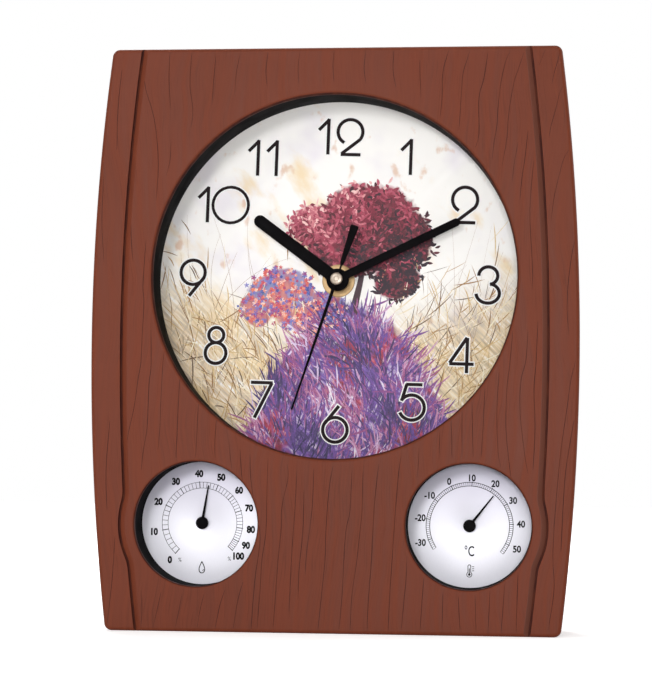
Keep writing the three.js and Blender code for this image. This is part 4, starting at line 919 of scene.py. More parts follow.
# Each engraved line as points (x, z) in millimetres from the middle of the flat base
GRAIN_LINES = (
    ((-111, 48.1), (-112.2, 25.7), (-114.5, 2.3)),
    ((-97.2, 200.4), (-98.4, 176.6), (-97.8, 168.3), (-98.5, 148.7), (-98.9, 137.4), (-100.3, 128.1),
     (-102.2, 113.7), (-104.6, 102.4), (-105.5, 96.2), (-106.5, 90.1)),
    ((-93.9, 153.9), (-93.6, 135.3), (-94.5, 126.1), (-95.2, 103.5), (-96.7, 94.2), (-98, 82)),
    ((-86.5, 146.2), (-87.4, 137.4), (-88.2, 118.9), (-88.5, 104.6), (-89.4, 92.3)),
    ((-78.5, 132.3), (-79.3, 112.8), (-79.6, 100.5), (-80, 88.2)),
    ((-68.5, 117), (-68.9, 112.9), (-69.7, 92.4), (-70.2, 88.3)),
    ((-58.6, 112.9), (-59.1, 109.9), (-60, 97.6), (-59.8, 88.4)),
    ((-97.2, 20.8), (-96.5, 11.7), (-96.9, 2.5)),
    ((-86.8, 19.9), (-88.7, 10.8), (-90.7, 2.1)),
    ((-76, 19.1), (-77.4, 10.9), (-79.3, 1.8)),
    ((-64.6, 19.2), (-66.6, 11.1), (-68, 2)),
    ((-53.9, 21.4), (-56.4, 13.8), (-58.8, 1.6)),
    ((-44.7, 25.6), (-47.2, 16.5), (-49.5, 1.8)),
    ((-52.7, 97.7), (-52.1, 90), (-51, 82.4)),
    ((-47, 93.1), (-45.8, 78.3), (-43.7, 71.2)),
    ((-41.9, 90.6), (-41.2, 77.4), (-39.5, 66.2), (-37.4, 57.1), (-36.2, 46), (-38.6, 26.7), (-40.3, 1.9)),
    ((-32.6, 88.1), (-32.9, 72.4), (-33.2, 52.1), (-35.1, 36.9), (-35.9, 21.7), (-37.3, 2)),
    ((-22.8, 85.7), (-22.2, 78.6), (-25.1, 64.3), (-25.5, 52.2), (-26.9, 37), (-27.8, 21.8), (-29.1, 2.1)),
    ((-17.7, 82.7), (-18.5, 62.4), (-19.8, 42.1), (-20.6, 21.9), (-21, 10.8)),
    ((-14, 72.6), (-14.3, 52.3), (-16.1, 32), (-16.5, 16.9)),
    ((0.7, 84.9), (-1.2, 72.7), (-2.6, 52.4), (-2.9, 37.3), (-4.3, 22.1), (-6.2, 2)),
    ((-9, 83.8), (-9.8, 62.5), (-12.2, 42.2), (-13, 29.6)),
    ((10.4, 82.9), (9.6, 62.7), (7.6, 52.5), (6.7, 37.4), (5.9, 19.3), (4.5, 2.1)),
    ((16, 83), (15.7, 62.7), (14.3, 47.6), (13.3, 37.5), (10.9, 19.3), (10.1, 2.2)),
    ((24.1, 86.1), (23.2, 79), (21.8, 62.8), (20.9, 42.6), (20, 27.5), (19.1, 14.4), (18.7, 1.9)),
    ((35.3, 90.2), (34.3, 83.1), (33.4, 73), (32, 52.8), (31.1, 37.7), (30.2, 22.6), (29.3, 2)),
    ((44.4, 94.3), (43.9, 83.2), (43.4, 79.2)),
    ((38.6, 39.8), (38.2, 27.8), (37.3, 17.7), (35.9, 2.1)),
    ((47.3, 29.4), (46.4, 17.8), (45.4, 1.8)),
    ((56.9, 22), (56.5, 2)),
    ((64.5, 20.1), (65.6, 2.1)),
    ((73, 20.7), (73.6, 1.8)),
    ((80.5, 23.3), (79.6, 1.9)),
    ((88, 27.4), (86.1, 2)),
    ((94.5, 32.5), (93.6, 1.6)),
    ((54.9, 103.5), (54.5, 87.9)),
    ((60.5, 109.6), (61.1, 89.4)),
    ((66, 113.2), (66.1, 90)),
    ((71, 117.8), (71.7, 90)),
    ((77.5, 124.9), (76.6, 103.7), (75.7, 90.1)),
    ((84.6, 133.1), (83.6, 113.8), (84.2, 93.7), (85.8, 84.6)),
    ((91.5, 154.4), (90.1, 138.1), (88.6, 124), (88.2, 103.8), (90.3, 83.6), (91.3, 75.6)),
    ((99.1, 154.4), (98.1, 139.2), (95.7, 129.1), (95.2, 113.9), (97.3, 93.8), (99.3, 81.7)),
    ((104.1, 159.5), (103.2, 138.2), (102.2, 124), (102.8, 103.9), (101.8, 83.7)),
    ((123.2, 139.3), (120.7, 129.2), (118.8, 115.1), (115.8, 93.9), (113.9, 73.8), (112.4, 53.8),
     (111.9, 38.8), (112.5, 23.8), (109.5, 2.8)),
    ((122.3, 109), (118.8, 87.9), (117.4, 73.9), (116.4, 53.8), (115.9, 42.8)),
    ((121.9, 64.9), (119.9, 43.9), (117.5, 23.9), (116, 4.9)),
    ((58.4, 297.9), (57.4, 294.8), (55.4, 286.5), (55, 273.1), (54, 262.8)),
    ((69.1, 297.7), (67.6, 292.6), (65.6, 285.4), (64.7, 273), (64.2, 264.8), (63.7, 256.6)),
    ((43.6, 292.8), (43.6, 286.6), (44.2, 273.2)),
    ((78.3, 296.6), (76.3, 283.2), (73.8, 273), (73.9, 254.4), (71.9, 247.3)),
    ((89.5, 296.5), (87.5, 292.4), (85, 281.1), (83.5, 267.7), (83, 258.5), (81.6, 250.3), (80.6, 241.1)),
    ((96.6, 296.4), (93.6, 287.2), (91.6, 281), (89.6, 269.7), (88.6, 260.5), (88.1, 252.3), (85.7, 238)),
    ((93.7, 250.2), (91.7, 237.9), (90.8, 229.7)),
    ((98.8, 256.3), (97.3, 242), (95.8, 231.8), (94.8, 220.5)),
    ((101.8, 240.9), (100.4, 225.6), (99.9, 211.3), (101, 190.9), (101.5, 174.7)),
    ((114.8, 297.3), (113.8, 292.1), (111.8, 285), (110.8, 279.8)),
    ((117.4, 280.3), (114.9, 275.7), (112.9, 267.5), (110.4, 258.3), (109.4, 252.2)),
    ((121, 248), (117, 241.9), (114.5, 232.7), (112, 221.5), (110.5, 209.3)),
    ((123.6, 203.1), (121.6, 196), (120.1, 185.8), (119.1, 175.7), (118.7, 164.6), (119.7, 151.9)),
    ((107.3, 297.4), (104.2, 289.2)),
    ((-100.1, 290), (-98.3, 278.5), (-95.6, 270.1), (-93.3, 260.7), (-91.6, 246.1), (-91.4, 233.6),
     (-92.2, 221.1)),
    ((-86, 298.3), (-86.3, 283.6), (-85.1, 267.9)),
    ((-74.5, 298.2), (-75.3, 281.4), (-73.6, 267.9), (-74.5, 258.5)),
    ((-61.9, 297), (-62.8, 285.5), (-63.7, 270.9)),
    ((-49.4, 296.9), (-51.4, 285.4), (-51.8, 275)),
    ((-34.9, 297.8), (-35.8, 288.4), (-35.2, 280.1)),
    ((-18.3, 298.1), (-19.2, 289.3), (-18.6, 281)),
    ((-0.7, 298.5), (-1.1, 290.1), (-0.5, 281.8)),
    ((15.8, 298.3), (14.9, 289), (16, 280.7)),
    ((30.2, 298.1), (29.8, 287.8), (31.4, 278.5)),
    ((-104.9, 226.4), (-105.1, 205.6), (-103.8, 189)),
    ((-84.8, 252.3), (-85.2, 241.9), (-87.2, 233.6)),
    ((-119.7, 236.9), (-120.4, 210.8), (-119, 189)),
    ((-114.6, 107.5), (-116.2, 81.8), (-115.4, 61.3)),
    ((-111.1, 289.1), (-112.9, 268.2), (-113.1, 247.3)),
)


def casing_outline(sizes, inset, side_steps=90, corner_steps=8):
    """The casing's barrel outline drawn in by an inset, anticlockwise from the lower right corner."""
    half_wide, mid = RIGHT - inset, (TOP + BASE) / 2
    bow = sizes.side_arc - inset
    corner = max(sizes.corner - inset, MM)
    end = (TOP - BASE) / 2 - inset - corner

    def side(rise):
        return half_wide - (bow - math.sqrt(bow * bow - rise * rise))

    def rounded(share, rise):
        turn = math.pi / 2 * share
        return side(end) - corner + corner * math.cos(turn), rise + corner * math.sin(turn)

    right = [rounded(i / corner_steps - 1, -end) for i in range(corner_steps + 1)]
    for i in range(1, side_steps):
        rise = end * (2 * i / side_steps - 1)
        right.append((side(rise), rise))
    right += [rounded(i / corner_steps, end) for i in range(corner_steps + 1)]
    both = right + [(-x, z) for x, z in reversed(right)]
    return [(x, z + mid) for x, z in both]


def casing_ring(sizes, inset, depth):
    return [Vector((x, FRONT + depth, z)) for x, z in casing_outline(sizes, inset)]


def opening_cutter(centre, radius, lip, back, steps):
    """Cuts a round opening whose lip is rounded over; all but the lip's first part takes the dark grain
    paint as painted shade.
    """
    turns = 10
    profile = [(0, back), (radius, back)]
    for i in range(turns):
        turn = math.pi / 2 * i / turns
        profile.append((radius + lip * (1 - math.cos(turn)), lip * (1 - math.sin(turn))))
    (r1, d1), (r2, d2) = profile[-2:]
    reach = MM / (d1 - d2)
    profile += [(r2 + (r2 - r1) * reach, d2 - MM), (0, d2 - MM)]
    cutter = turned(profile, centre, steps)
    # Painted shade: the deeper part of the lip takes the grain paint
    for key in ("casing_plastic", "grain"):
        cutter.materials.append(finish(key))
    for face in cutter.polygons:
        face.material_index = int(face.center.y - FRONT > 0.15 * lip)
    return cutter


def groove_cutter(sizes, side):
    """Cuts a groove with a gentle inner side and a steep outer one, which bows out round a gauge."""
    slope, steep, deep = sizes.groove_slope, sizes.groove_steep, sizes.groove_depth
    section = [
        (slope + 0.5 * MM, -MM), (slope + 0.4 * MM, -0.02 * MM), (slope, 0.1 * deep),
        (slope * 0.5, 0.5 * deep), (slope * 0.16, 0.92 * deep), (0, deep),
        (-0.5 * steep, 0.92 * deep), (-0.85 * steep, 0.25 * deep),
        (-steep - 0.25 * MM, -0.02 * MM), (-steep - 0.3 * MM, -MM),
    ]
    gauge = GAUGES["thermometer"]
    mid = (TOP + BASE) / 2
    blend = 0.5 * MM                          # rounding where the bow leaves the straight run
    beyond = 2 * MM                           # the cutter runs past both ends of the casing
    steps = 260
    rings = []
    for k in range(steps + 1):
        z = BASE - beyond + (TOP - BASE + 2 * beyond) * k / steps
        rise = min(abs(z - mid), (TOP - BASE) / 2)
        edge = RIGHT - (sizes.side_arc - math.sqrt(sizes.side_arc ** 2 - rise ** 2))
        ring = []
        for offset, depth in section:
            along = edge - sizes.groove_inset - offset
            bow = (sizes.groove_bow - offset) ** 2 - (z - gauge.z) ** 2
            round_it = gauge.x + math.sqrt(max(bow, 0))
            half = (along - round_it) / 2
            across = along
            if bow > 0:
                across = (along + round_it) / 2 + math.sqrt(half * half + blend * blend)
            ring.append((side * across, FRONT + depth, z))
        rings.append(ring)
    mesh = mesh_of(loft(rings))
    # Painted shade: the right groove's gentle side takes a darker tint, and in both grooves the bottom and
    # the steep side take the dark grain paint
    for key in ("glaze" if side > 0 else "casing_plastic", "grain"):
        mesh.materials.append(finish(key))
    dark = FRONT + 0.86 * deep
    for face in mesh.polygons:
        face.material_index = int(face.center.y > dark or face.normal.x * side > 0.6)
    return mesh


def smooth_path(points, spacing):
    """Points close together on a soft curve through the given ones."""
    ends = [points[0], *points, points[-1]]
    path = []
    for a, b, c, d in zip(ends, ends[1:], ends[2:], ends[3:]):
        a, b, c, d = (Vector(p) for p in (a, b, c, d))
        count = max(1, round((c - b).length / spacing))
        for k in range(count):
            t = k / count
            path.append(0.5 * (2 * b + (c - a) * t + (2 * a - 5 * b + 4 * c - d) * t * t
                               + (3 * b - a - 3 * c + d) * t ** 3))
    path.append(Vector(points[-1]))
    return path


def grain_cutter(sizes):
    """One slim body along each grain line, which fades out at both ends."""
    half, deep = sizes.grain_width / 2, sizes.grain_depth
    radius = (half * half + deep * deep) / (2 * deep)
    lift = radius - deep
    points, edges, girth = [], [], []
    chance = random.Random(5)
    for line in GRAIN_LINES:
        path = smooth_path(line, 2.2)
        strength = chance.uniform(0.75, 1.15)
        first = len(points)
        for i, place in enumerate(path):
            ends = min(1, (i + 0.4) / 4, (len(path) - 0.6 - i) / 4)
            cut = deep * strength * (0.1 + 0.9 * ends) * chance.uniform(0.8, 1.1)
            points.append((place.x * MM, FRONT - lift, place.y * MM))
            girth.append((lift + cut) / radius)
        edges += [(i, i + 1) for i in range(first, len(points) - 1)]
    mesh = grown(lines_tree, points, edges, {"girth": girth}, Radius=radius, Facets=10,
                 Finish=finish("grain"))
    shape = bmesh.new()
    shape.from_mesh(mesh)
    cutter = mesh_of(shape)
    cutter.materials.append(finish("grain"))
    return cutter


def build_casing(sizes):
    gap = depths("clock_lens")[0] - sizes.front_wall
    bore, wall = radius_of("clock_lens") + gap, 2 * MM
    cup_bore, cup_wall = radius_of("hygrometer_lens") + gap, 1.8 * MM
    well_end, cup_end = depths("dial_plate")[0] - gap, depths("hygrometer_cup")[1]
    boss_end, back = depths("rear_cover")[0] - gap, depths("front_frame")[1]
    join, over = sizes.front_wall / 2, MM     # where inner bodies start, and how far cutters run out
    boss, small_boss = 4 * MM, 3.2 * MM       # radii of the bosses for the rear and the dial screws
    deep, short = 10.3 * MM, 6.3 * MM         # and the depths of their holes
    gauges, covers, boards = list(GAUGES.values()), screw_places("rear"), screw_places("dial")

    rings = [casing_ring(sizes, 0.4 * MM, back), casing_ring(sizes, 0.1 * MM, back - 0.1 * MM),
             casing_ring(sizes, 0, back - 0.4 * MM)]
    for i in range(8):
        turn = math.pi / 2 * i / 7
        inset, depth = (sizes.edge_round * (1 - part) for part in (math.cos(turn), math.sin(turn)))
        rings.append(casing_ring(sizes, inset, depth))
    hollow = mesh_of(loft([
        casing_ring(sizes, sizes.side_wall, depth) for depth in (back + over, sizes.front_wall)]))
    body = mesh_of(loft(rings))
    body.materials.append(finish("casing_plastic"))
    body = carved(body, [hollow])

    body = carved(body, discs([HUB], bore + wall, join, well_end, DIAL_FACETS)
                  + discs(gauges, cup_bore + cup_wall, join, cup_end, WELL_FACETS)
                  + discs(covers, boss, join, boss_end, 24), "UNION")
    body = carved(body, discs(boards, small_boss, join, well_end, 24), "UNION")
    body = carved(body, discs([HUB], bore, sizes.front_wall, well_end + over, DIAL_FACETS)
                  + discs(gauges, cup_bore, sizes.front_wall, cup_end + over, WELL_FACETS)
                  + discs(covers, COVER_HOLE, boss_end - deep, boss_end + over, 16)
                  + discs(boards, SMALL_HOLE, well_end - short, well_end + over, 16))
    through = sizes.front_wall + 0.5 * gap
    openings = [opening_cutter(HUB, sizes.main_opening, sizes.main_lip, through, 256)]
    openings += [opening_cutter(g, sizes.gauge_opening, sizes.gauge_lip, through, GAUGE_FACETS)
                 for g in gauges]
    body = carved(body, openings)
    for side in (-1, 1):
        body = carved(body, [groove_cutter(sizes, side)])
    body = weighted(carved(body, [grain_cutter(sizes)]))
    piece("wood_look_casing", body, None, ("front_frame",))


# Dial: lens, black ring, board and print

def build_dial():
    rim, hole, ring_wide = radius_of("clock_lens"), 4.25 * MM, 2.8 * MM
    bore = HUB.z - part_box("dial_ring")[0].z - ring_wide
    piece("dial_lens", round_slab("clock_lens", HUB, 0, rim, 0.4 * MM, DIAL_FACETS),
          "clear_lens", ("clock_lens",))
    piece("black_ring", round_slab("dial_ring", HUB, bore, rim, 0.3 * MM, DIAL_FACETS),
          "black_plastic", ("dial_ring",))

    start, end = depths("dial_plate")
    board = round_slab("dial_plate", HUB, hole, radius_of("dial_plate"), 0.2 * MM, DIAL_FACETS)
    board = carved(board, discs(screw_places("dial"), SMALL_HOLE, start - MM, end + MM, 16))
    piece("dial_board", board, "dial_print", ("dial_plate",))

    washer = round_slab("hub_washer", HUB, hole, radius_of("hub_washer"), 0.25 * MM, 96)
    piece("bush_washer", washer, "brass", ("hub_washer",))
    start, end = depths("hub_nut")
    corners = radius_of("hub_nut")
    hexagon = [(HUB.x + corners * math.cos(math.pi * i / 3), HUB.z + corners * math.sin(math.pi * i / 3))
               for i in range(6)]
    nut = plate([hexagon, circle(hole, HUB.x, HUB.z)], start, end, 0.3 * MM)
    piece("bush_nut", nut, "brass", ("hub_nut",))


def brush_mark(bend):
    """One pointed mark a unit long and wide; it stands on the paper and reaches one unit forward."""
    def edge(side, i):
        bow = math.sin(math.pi * i / 6)
        return bend * bow + side * 0.5 * bow ** 0.8, i / 6

    outline = [edge(1, i) for i in range(7)] + [edge(-1, i) for i in range(5, 0, -1)]
    return mesh_of(loft([[(x, y, z) for x, z in outline] for y in (0, -1)]))


def within(blobs, x, z, grow):
    return any(((x - a) / wide) ** 2 + ((z - b) / tall) ** 2 < grow for a, b, wide, tall in blobs)


def inside_mound(x, z, lift=0.0):
    return z < MOUND_TOP - MOUND_FALL * (x - MOUND_X) ** 2 + lift


def on_paper(x, z):
    """A place on the dial, from millimetres counted from the hub."""
    return HUB.x + x * MM, FRONT + depths("dial_plate")[0], HUB.z + z * MM


def build_print(sizes):
    """Leaves, blossoms, heather and grass as printed marks on the dial."""
    chance = random.Random(sizes.seed)
    reach = radius_of("dial_plate") / MM - 8
    colours = bpy.context.scene.clock_colours
    burgundy, violet, straw_colour = (tuple(c) for c in (colours.burgundy, colours.violet, colours.straw))

    def fits(x, z, turn, tall):
        """Whether a mark's foot, middle and tip are all on the picture and clear of the hub."""
        spots = [(x + math.sin(turn) * tall * t, z + math.cos(turn) * tall * t) for t in (0, 0.5, 1)]
        return all(6 < math.hypot(*spot) < reach for spot in spots)

    def layer(name, marks, choose, bend, height, *stops, petals=1):
        """Scatters marks at random places where the chooser gives one, in up to 60 tries for each."""
        points, turns, stretches, tones = [], [], [], []
        tries = 0
        while len(points) < marks * petals and tries < 60 * marks:
            tries += 1
            x, z = chance.uniform(-reach, reach), chance.uniform(-reach, reach)
            mark = choose(x, z)
            if mark is None or not fits(x, z, mark[0], mark[2]):
                continue
            turn, wide, tall, tone = mark
            proud = height * chance.uniform(0.5, 1) * MM
            for k in range(petals):
                points.append(on_paper(x, z))
                turns.append(turn + 2 * math.pi * k / petals)
                stretches.append((wide * MM, proud * (1 - 0.04 * k), tall * MM))
                own = tone if petals == 1 else tone + chance.gauss(0, 0.06)
                tones.append(min(1, max(0, own)))
        shape = holder_of(brush_mark(bend))
        mesh = grown(copies_tree, points, (), {"turn": turns, "stretch": stretches, "tone": tones},
                     Shape=shape, Finish=painted(name, *stops))
        bpy.data.objects.remove(shape)
        piece(name, mesh, None)

    # Each chooser gives a mark's turn, width, length and tone, or None where it doesn't belong

    def leaf(x, z):
        if not within(CROWN, x, z, chance.uniform(0.6, 1.15)):
            return None
        light = 0.4 + (z - 24) / 105 - (x - 9) / 130 + 0.12 * math.sin(x / 4 + z / 7)
        light += chance.gauss(0, 0.17)
        return chance.uniform(0, 2 * math.pi), chance.uniform(0.8, 1.9), chance.uniform(2.0, 4.6), light

    def sprig(x, z):
        if not inside_mound(x, z, chance.uniform(-4, 3)):
            return None
        lean = 0.5 * math.sin(x / 17 + z / 23) + (x - MOUND_X) / 70
        tone = 0.42 + 0.2 * math.sin(x / 9 + z / 15) + 0.1 * math.sin(z / 6 - x / 21)
        tone += chance.gauss(0, 0.17)
        return lean + chance.gauss(0, 0.4), chance.uniform(0.35, 1.2), chance.uniform(4, 16), tone

    def straw(x, z):
        low = z - 0.35 * abs(x) + chance.gauss(0, 14)
        if low > -38 or inside_mound(x, z, -4):
            return None
        turn = chance.gauss(math.copysign(0.5, x), 0.55)
        return turn, chance.uniform(0.25, 0.7), chance.uniform(6, 20), chance.random()

    def flower(x, z):
        if not within(SHRUB, x, z, chance.uniform(0.7, 1.2)) or within(CROWN, x, z, 0.8):
            return None
        return chance.uniform(0, 2), chance.uniform(0.5, 0.95), chance.uniform(0.7, 1.7), chance.random()

    layer("printed_straw", sizes.grasses, straw, 0.8, 0.09,
          (0, (0.09, 0.045, 0.02)), (0.28, (0.42, 0.22, 0.07)), (0.6, shade(straw_colour, 0.9)),
          (1, (0.92, 0.86, 0.70)))
    layer("printed_leaves", sizes.leaves, leaf, 0.15, 0.12,
          (0, (0.012, 0.004, 0.012)), (0.26, shade(burgundy, 0.3)), (0.48, shade(burgundy, 0.9)),
          (0.68, (0.46, 0.08, 0.13)), (0.84, (0.68, 0.24, 0.27)), (1, (0.88, 0.60, 0.57)))
    layer("printed_blossoms", sizes.blossoms, flower, 0.0, 0.15,
          (0, (0.05, 0.07, 0.30)), (0.22, (0.18, 0.22, 0.60)), (0.4, (0.30, 0.06, 0.22)),
          (0.6, (0.60, 0.07, 0.10)), (0.8, (0.80, 0.22, 0.12)), (1, (0.92, 0.70, 0.60)), petals=5)
    layer("printed_heather", sizes.heather, sprig, 0.5, 0.16,
          (0, (0.03, 0.02, 0.08)), (0.2, shade(violet, 0.6)), (0.38, shade(violet, 1.3)),
          (0.52, (0.30, 0.07, 0.20)), (0.68, (0.54, 0.22, 0.38)), (0.84, (0.66, 0.54, 0.76)),
          (1, (0.92, 0.84, 0.88)))


def build_reeds(sizes):
    """Slender reeds that lean in from both sides, and the tree's trunk with its boughs."""
    chance = random.Random(sizes.seed + 1)

    def lines(paths, facets, name, *stops):
        """Tapering lines along paths, each given with its thickness at the foot."""
        points, edges, girth = [], [], []
        for path, thick in paths:
            first = len(points)
            points.extend(on_paper(x, z) for x, z in path)
            girth.extend(thick * (1 - 0.7 * i / len(path)) for i in range(len(path)))
            edges.extend((i, i + 1) for i in range(first, len(points) - 1))
        return grown(lines_tree, points, edges, {"girth": girth}, Radius=0.13 * MM, Facets=facets,
                     Finish=painted(name, *stops))

    stalks = []
    for _ in range(sizes.reeds):
        side = chance.choice((-1, 1))
        x, z = side * chance.uniform(34, 84), chance.uniform(-50, -14)
        heading, bend = chance.gauss(side * 0.15, 0.35), chance.gauss(-side * 0.02, 0.035)
        path = []
        for _ in range(chance.randint(9, 20)):
            if math.hypot(x, z) > 92 or within(CROWN, x, z, 1.2) or inside_mound(x, z):
                break
            path.append((x, z))
            heading += bend
            x, z = x + 4 * math.sin(heading), z + 4 * math.cos(heading)
        if len(path) > 4:
            stalks.append((path, chance.uniform(0.5, 1.1)))
    reeds = lines(stalks, 6, "Reeds", (0.3, (0.30, 0.16, 0.08)), (0.7, (0.62, 0.42, 0.24)))
    piece("printed_reeds", reeds, None)

    trunk = [(13 - 0.22 * k + 1.2 * math.sin(k / 4), 22 - 2.2 * k) for k in range(19)]
    limbs = [(trunk[::-1], 16)]
    for k, lean in ((3, 0.9), (5, -0.8), (7, 0.6), (9, -0.55)):
        x, z = trunk[k]
        limbs.append(([(x + lean * 2.4 * i, z + 2.1 * i) for i in range(7)], 6))
    boughs = lines(limbs, 8, "Bark", (0.35, (0.05, 0.02, 0.03)), (0.65, (0.26, 0.10, 0.14)))
    paper = FRONT + depths("dial_plate")[0]
    for corner in boughs.vertices:            # pressed flat, so that the trunk is as thin as print
        corner.co.y = paper + (corner.co.y - paper) * 0.05
    piece("printed_trunk", boughs, None)


# Hour numerals, drawn with one stroke width; units are numeral heights, with 0 at the foot

def arc(x, z, wide, tall, start, end):
    """Points on an arc; degrees run clockwise from upright."""
    turns = [math.radians(start + (end - start) * i / 28) for i in range(29)]
    return [(x + wide * math.sin(turn), z + tall * math.cos(turn)) for turn in turns]


DIGITS = {
    "0": [arc(0, 0.5, 0.5, 0.5, 0, 360)],
    "1": [[(0, 0), (0, 1)], [(-0.27, 0.68), (0.02, 0.985)]],
    "2": [arc(0, 0.645, 0.345, 0.345, 208, 488) + [(-0.23, 0.03)], [(-0.25, 0.01), (0.3, 0.01)]],
    "3": [arc(0, 0.755, 0.26, 0.245, -92, 168), arc(0, 0.27, 0.32, 0.27, 10, 266)],
    "4": [[(0.14, 0), (0.14, 0.97)], [(0.13, 0.98), (-0.33, 0.27)], [(-0.34, 0.25), (0.33, 0.25)]],
    "5": [[(0.3, 0.98), (-0.15, 0.98)], [(-0.13, 0.99), (-0.26, 0.52)],
          arc(0.02, 0.345, 0.35, 0.345, -56, 246)],
    "6": [arc(0, 0.34, 0.34, 0.34, 0, 360), [(-0.31, 0.48), (0.09, 1)]],
    "7": [[(-0.3, 0.98), (0.31, 0.98)], [(0.29, 0.98), (-0.17, 0)]],
    "8": [arc(0, 0.79, 0.21, 0.21, 0, 360), arc(0, 0.29, 0.29, 0.29, 0, 360)],
    "9": [arc(0, 0.66, 0.34, 0.34, 0, 360), [(0.31, 0.52), (-0.09, 0)]],
}
HOURS = {                                     # the middle of each numeral, in millimetres from the hub
    "12": (0.6, 76.3), "1": (37.6, 65.4), "2": (66.1, 40.0), "3": (78.3, -2.1), "4": (64.9, -38.7),
    "5": (38.5, -63.4), "6": (-1.2, -75.2), "7": (-40.4, -62.8), "8": (-64.7, -34.2), "9": (-77.4, 1.5),
    "10": (-61.3, 40.4), "11": (-39.7, 65.3),
}
PAIRS = {"12": (-0.35, 0.26), "10": (-0.45, 0.19), "11": (-0.19, 0.33)}
NUMERAL_LEAN = Matrix.Rotation(math.radians(-1.6), 2)


def meets(points):
    """Whether a line of points ends where it starts."""
    return (Vector(points[0]) - Vector(points[-1])).length < MERGE


def stroke(points, width, start, end):
    """A flat band of one width along a line of points; it is closed into a ring where its ends meet."""
    closed = meets(points)
    if closed:
        points = points[:-1]
    sides = []
    last = len(points) - 1
    for i, point in enumerate(points):
        before = Vector(points[i - 1] if closed or i else points[0])
        after = Vector(points[(i + 1) % len(points)] if closed or i < last else points[-1])
        along = (after - before).normalized()
        out = Vector((along.y, -along.x)) * width / 2
        sides.append((Vector(point) - out, Vector(point) + out))
    shape = bmesh.new()
    rows = [[shape.verts.new((p.x, FRONT + d, p.y)) for p, d in (
        (left, start), (right, start), (right, end), (left, end))] for left, right in sides]
    for near, far in zip(rows, rows[1:] + (rows[:1] if closed else [])):
        for i in range(4):
            shape.faces.new((near[i], near[(i + 1) % 4], far[(i + 1) % 4], far[i]))
    if not closed:
        shape.faces.new(rows[0][::-1])
        shape.faces.new(rows[-1])
    return mesh_of(shape)


def lengthened(points, reach):
    """A line of points with both its ends moved outwards, unless they meet."""
    if meets(points):
        return points

    def moved(end, inner):
        return tuple(Vector(end) + (Vector(end) - Vector(inner)).normalized() * reach)

    return [moved(points[0], points[1]), *points[1:-1], moved(points[-1], points[-2])]


def build_numerals(sizes):
    """The strokes of a numeral lie a little above each other, so that no two share a plane."""
    paper = depths("dial_plate")[0]
    ink, halo = [], []
    for text, (x, z) in HOURS.items():
        for k, digit in enumerate(text):
            shift = PAIRS.get(text, (0,))[k]
            width = sizes.stroke * (0.9 if digit == "0" else 1)
            for n, line in enumerate(DIGITS[digit]):
                points = []
                for u, v in line:
                    place = NUMERAL_LEAN @ Vector((u + shift, v - 0.5)) * sizes.numeral_height
                    points.append((HUB.x + x * MM + place.x, HUB.z + z * MM + place.y))
                ink.append(stroke(points, width, paper - (4.6 + 0.3 * n) * sizes.ink, paper))
                halo.append(stroke(lengthened(points, sizes.halo), width + 2 * sizes.halo,
                                   paper - (3.6 + 0.2 * n) * sizes.ink, paper))
    piece("hour_numerals", joined(ink), "numeral_ink")
    piece("numeral_halos", joined(halo), "halo")


# Hands

def hub_arc(radius, start, end, steps=36):
    """Points on a hub's rim; turns run clockwise from upright."""
    return [(radius * math.sin(start + (end - start) * i / steps),
             radius * math.cos(start + (end - start) * i / steps)) for i in range(steps + 1)]


def hand_outline(long, width, hub):
    """A straight hand with a round end, pointing up."""
    half = width / 2
    at_hub = math.asin(half / hub)
    tip = [(x, z + long - half) for x, z in hub_arc(half, -math.pi / 2, math.pi / 2, 16)]
    return hub_arc(hub, at_hub, 2 * math.pi - at_hub) + tip


def second_outline(sizes):
    """A slim tapered hand with a paddle for its tail, pointing up."""
    hub, base, tip = 2.6 * MM, sizes.second_base / 2, sizes.second_tip / 2
    neck, shoulder, end = 0.5 * MM, 1.1 * MM, sizes.tail_width / 2
    corner = end / 2
    at_needle, at_neck = math.asin(base / hub), math.asin(neck / hub)
    low = -sizes.tail_length + corner
    tail = [(neck, -7 * MM), (shoulder, -9.2 * MM)]
    tail += [(x + end - corner, z + low) for x, z in hub_arc(corner, math.pi / 2, math.pi, 6)]
    right = hub_arc(hub, at_needle, math.pi - at_neck, 14) + tail
    left = [(-x, z) for x, z in reversed(right)]
    return right + left + [(-tip, sizes.second_length), (tip, sizes.second_length)]


def build_hands(sizes):
    straight = ((sizes.hour_length, sizes.hour_width, sizes.hour_hub),
                (sizes.minute_length, sizes.minute_width, sizes.minute_hub))
    hour, minute = (hand_outline(*shape) for shape in straight)
    for name, turn, outline, hole in (
            ("hour", sizes.hour_turn, hour, 2.8),
            ("minute", sizes.minute_turn, minute, 1.95),
            ("second", sizes.second_turn, second_outline(sizes), 0.8)):
        start, end = depths(f"{name}_hand")
        blade = plate([outline, circle(hole * MM, steps=24)], start, end, 0.13 * MM)
        piece(f"{name}_pointer", aimed(blade, HUB, turn), "hand_black", (f"{name}_hand",), name)

    start, end = depths("second_hand_cap")
    rim, bore = radius_of("second_hand_cap"), 0.8 * MM
    waist = (start + end) / 2
    profile = [(bore, end), (rim, end), (rim, waist), (0.86 * rim, start + 0.12 * MM), (0.45 * rim, start)]
    profile = eased(profile, 0.4 * MM, 4)
    profile += [(0.36 * rim, start + 0.25 * MM), (0, start + 0.3 * MM), (0, waist), (bore, waist)]
    piece("second_cap", turned(profile, HUB, 64, True), "cap_gold", ("second_hand_cap",), "second")


# Gauges

def at_turn(centre, radius, turn):
    """A point round a gauge, in metres from a radius in metres, clockwise from upright."""
    return centre.x + radius * math.sin(turn), centre.z + radius * math.cos(turn)


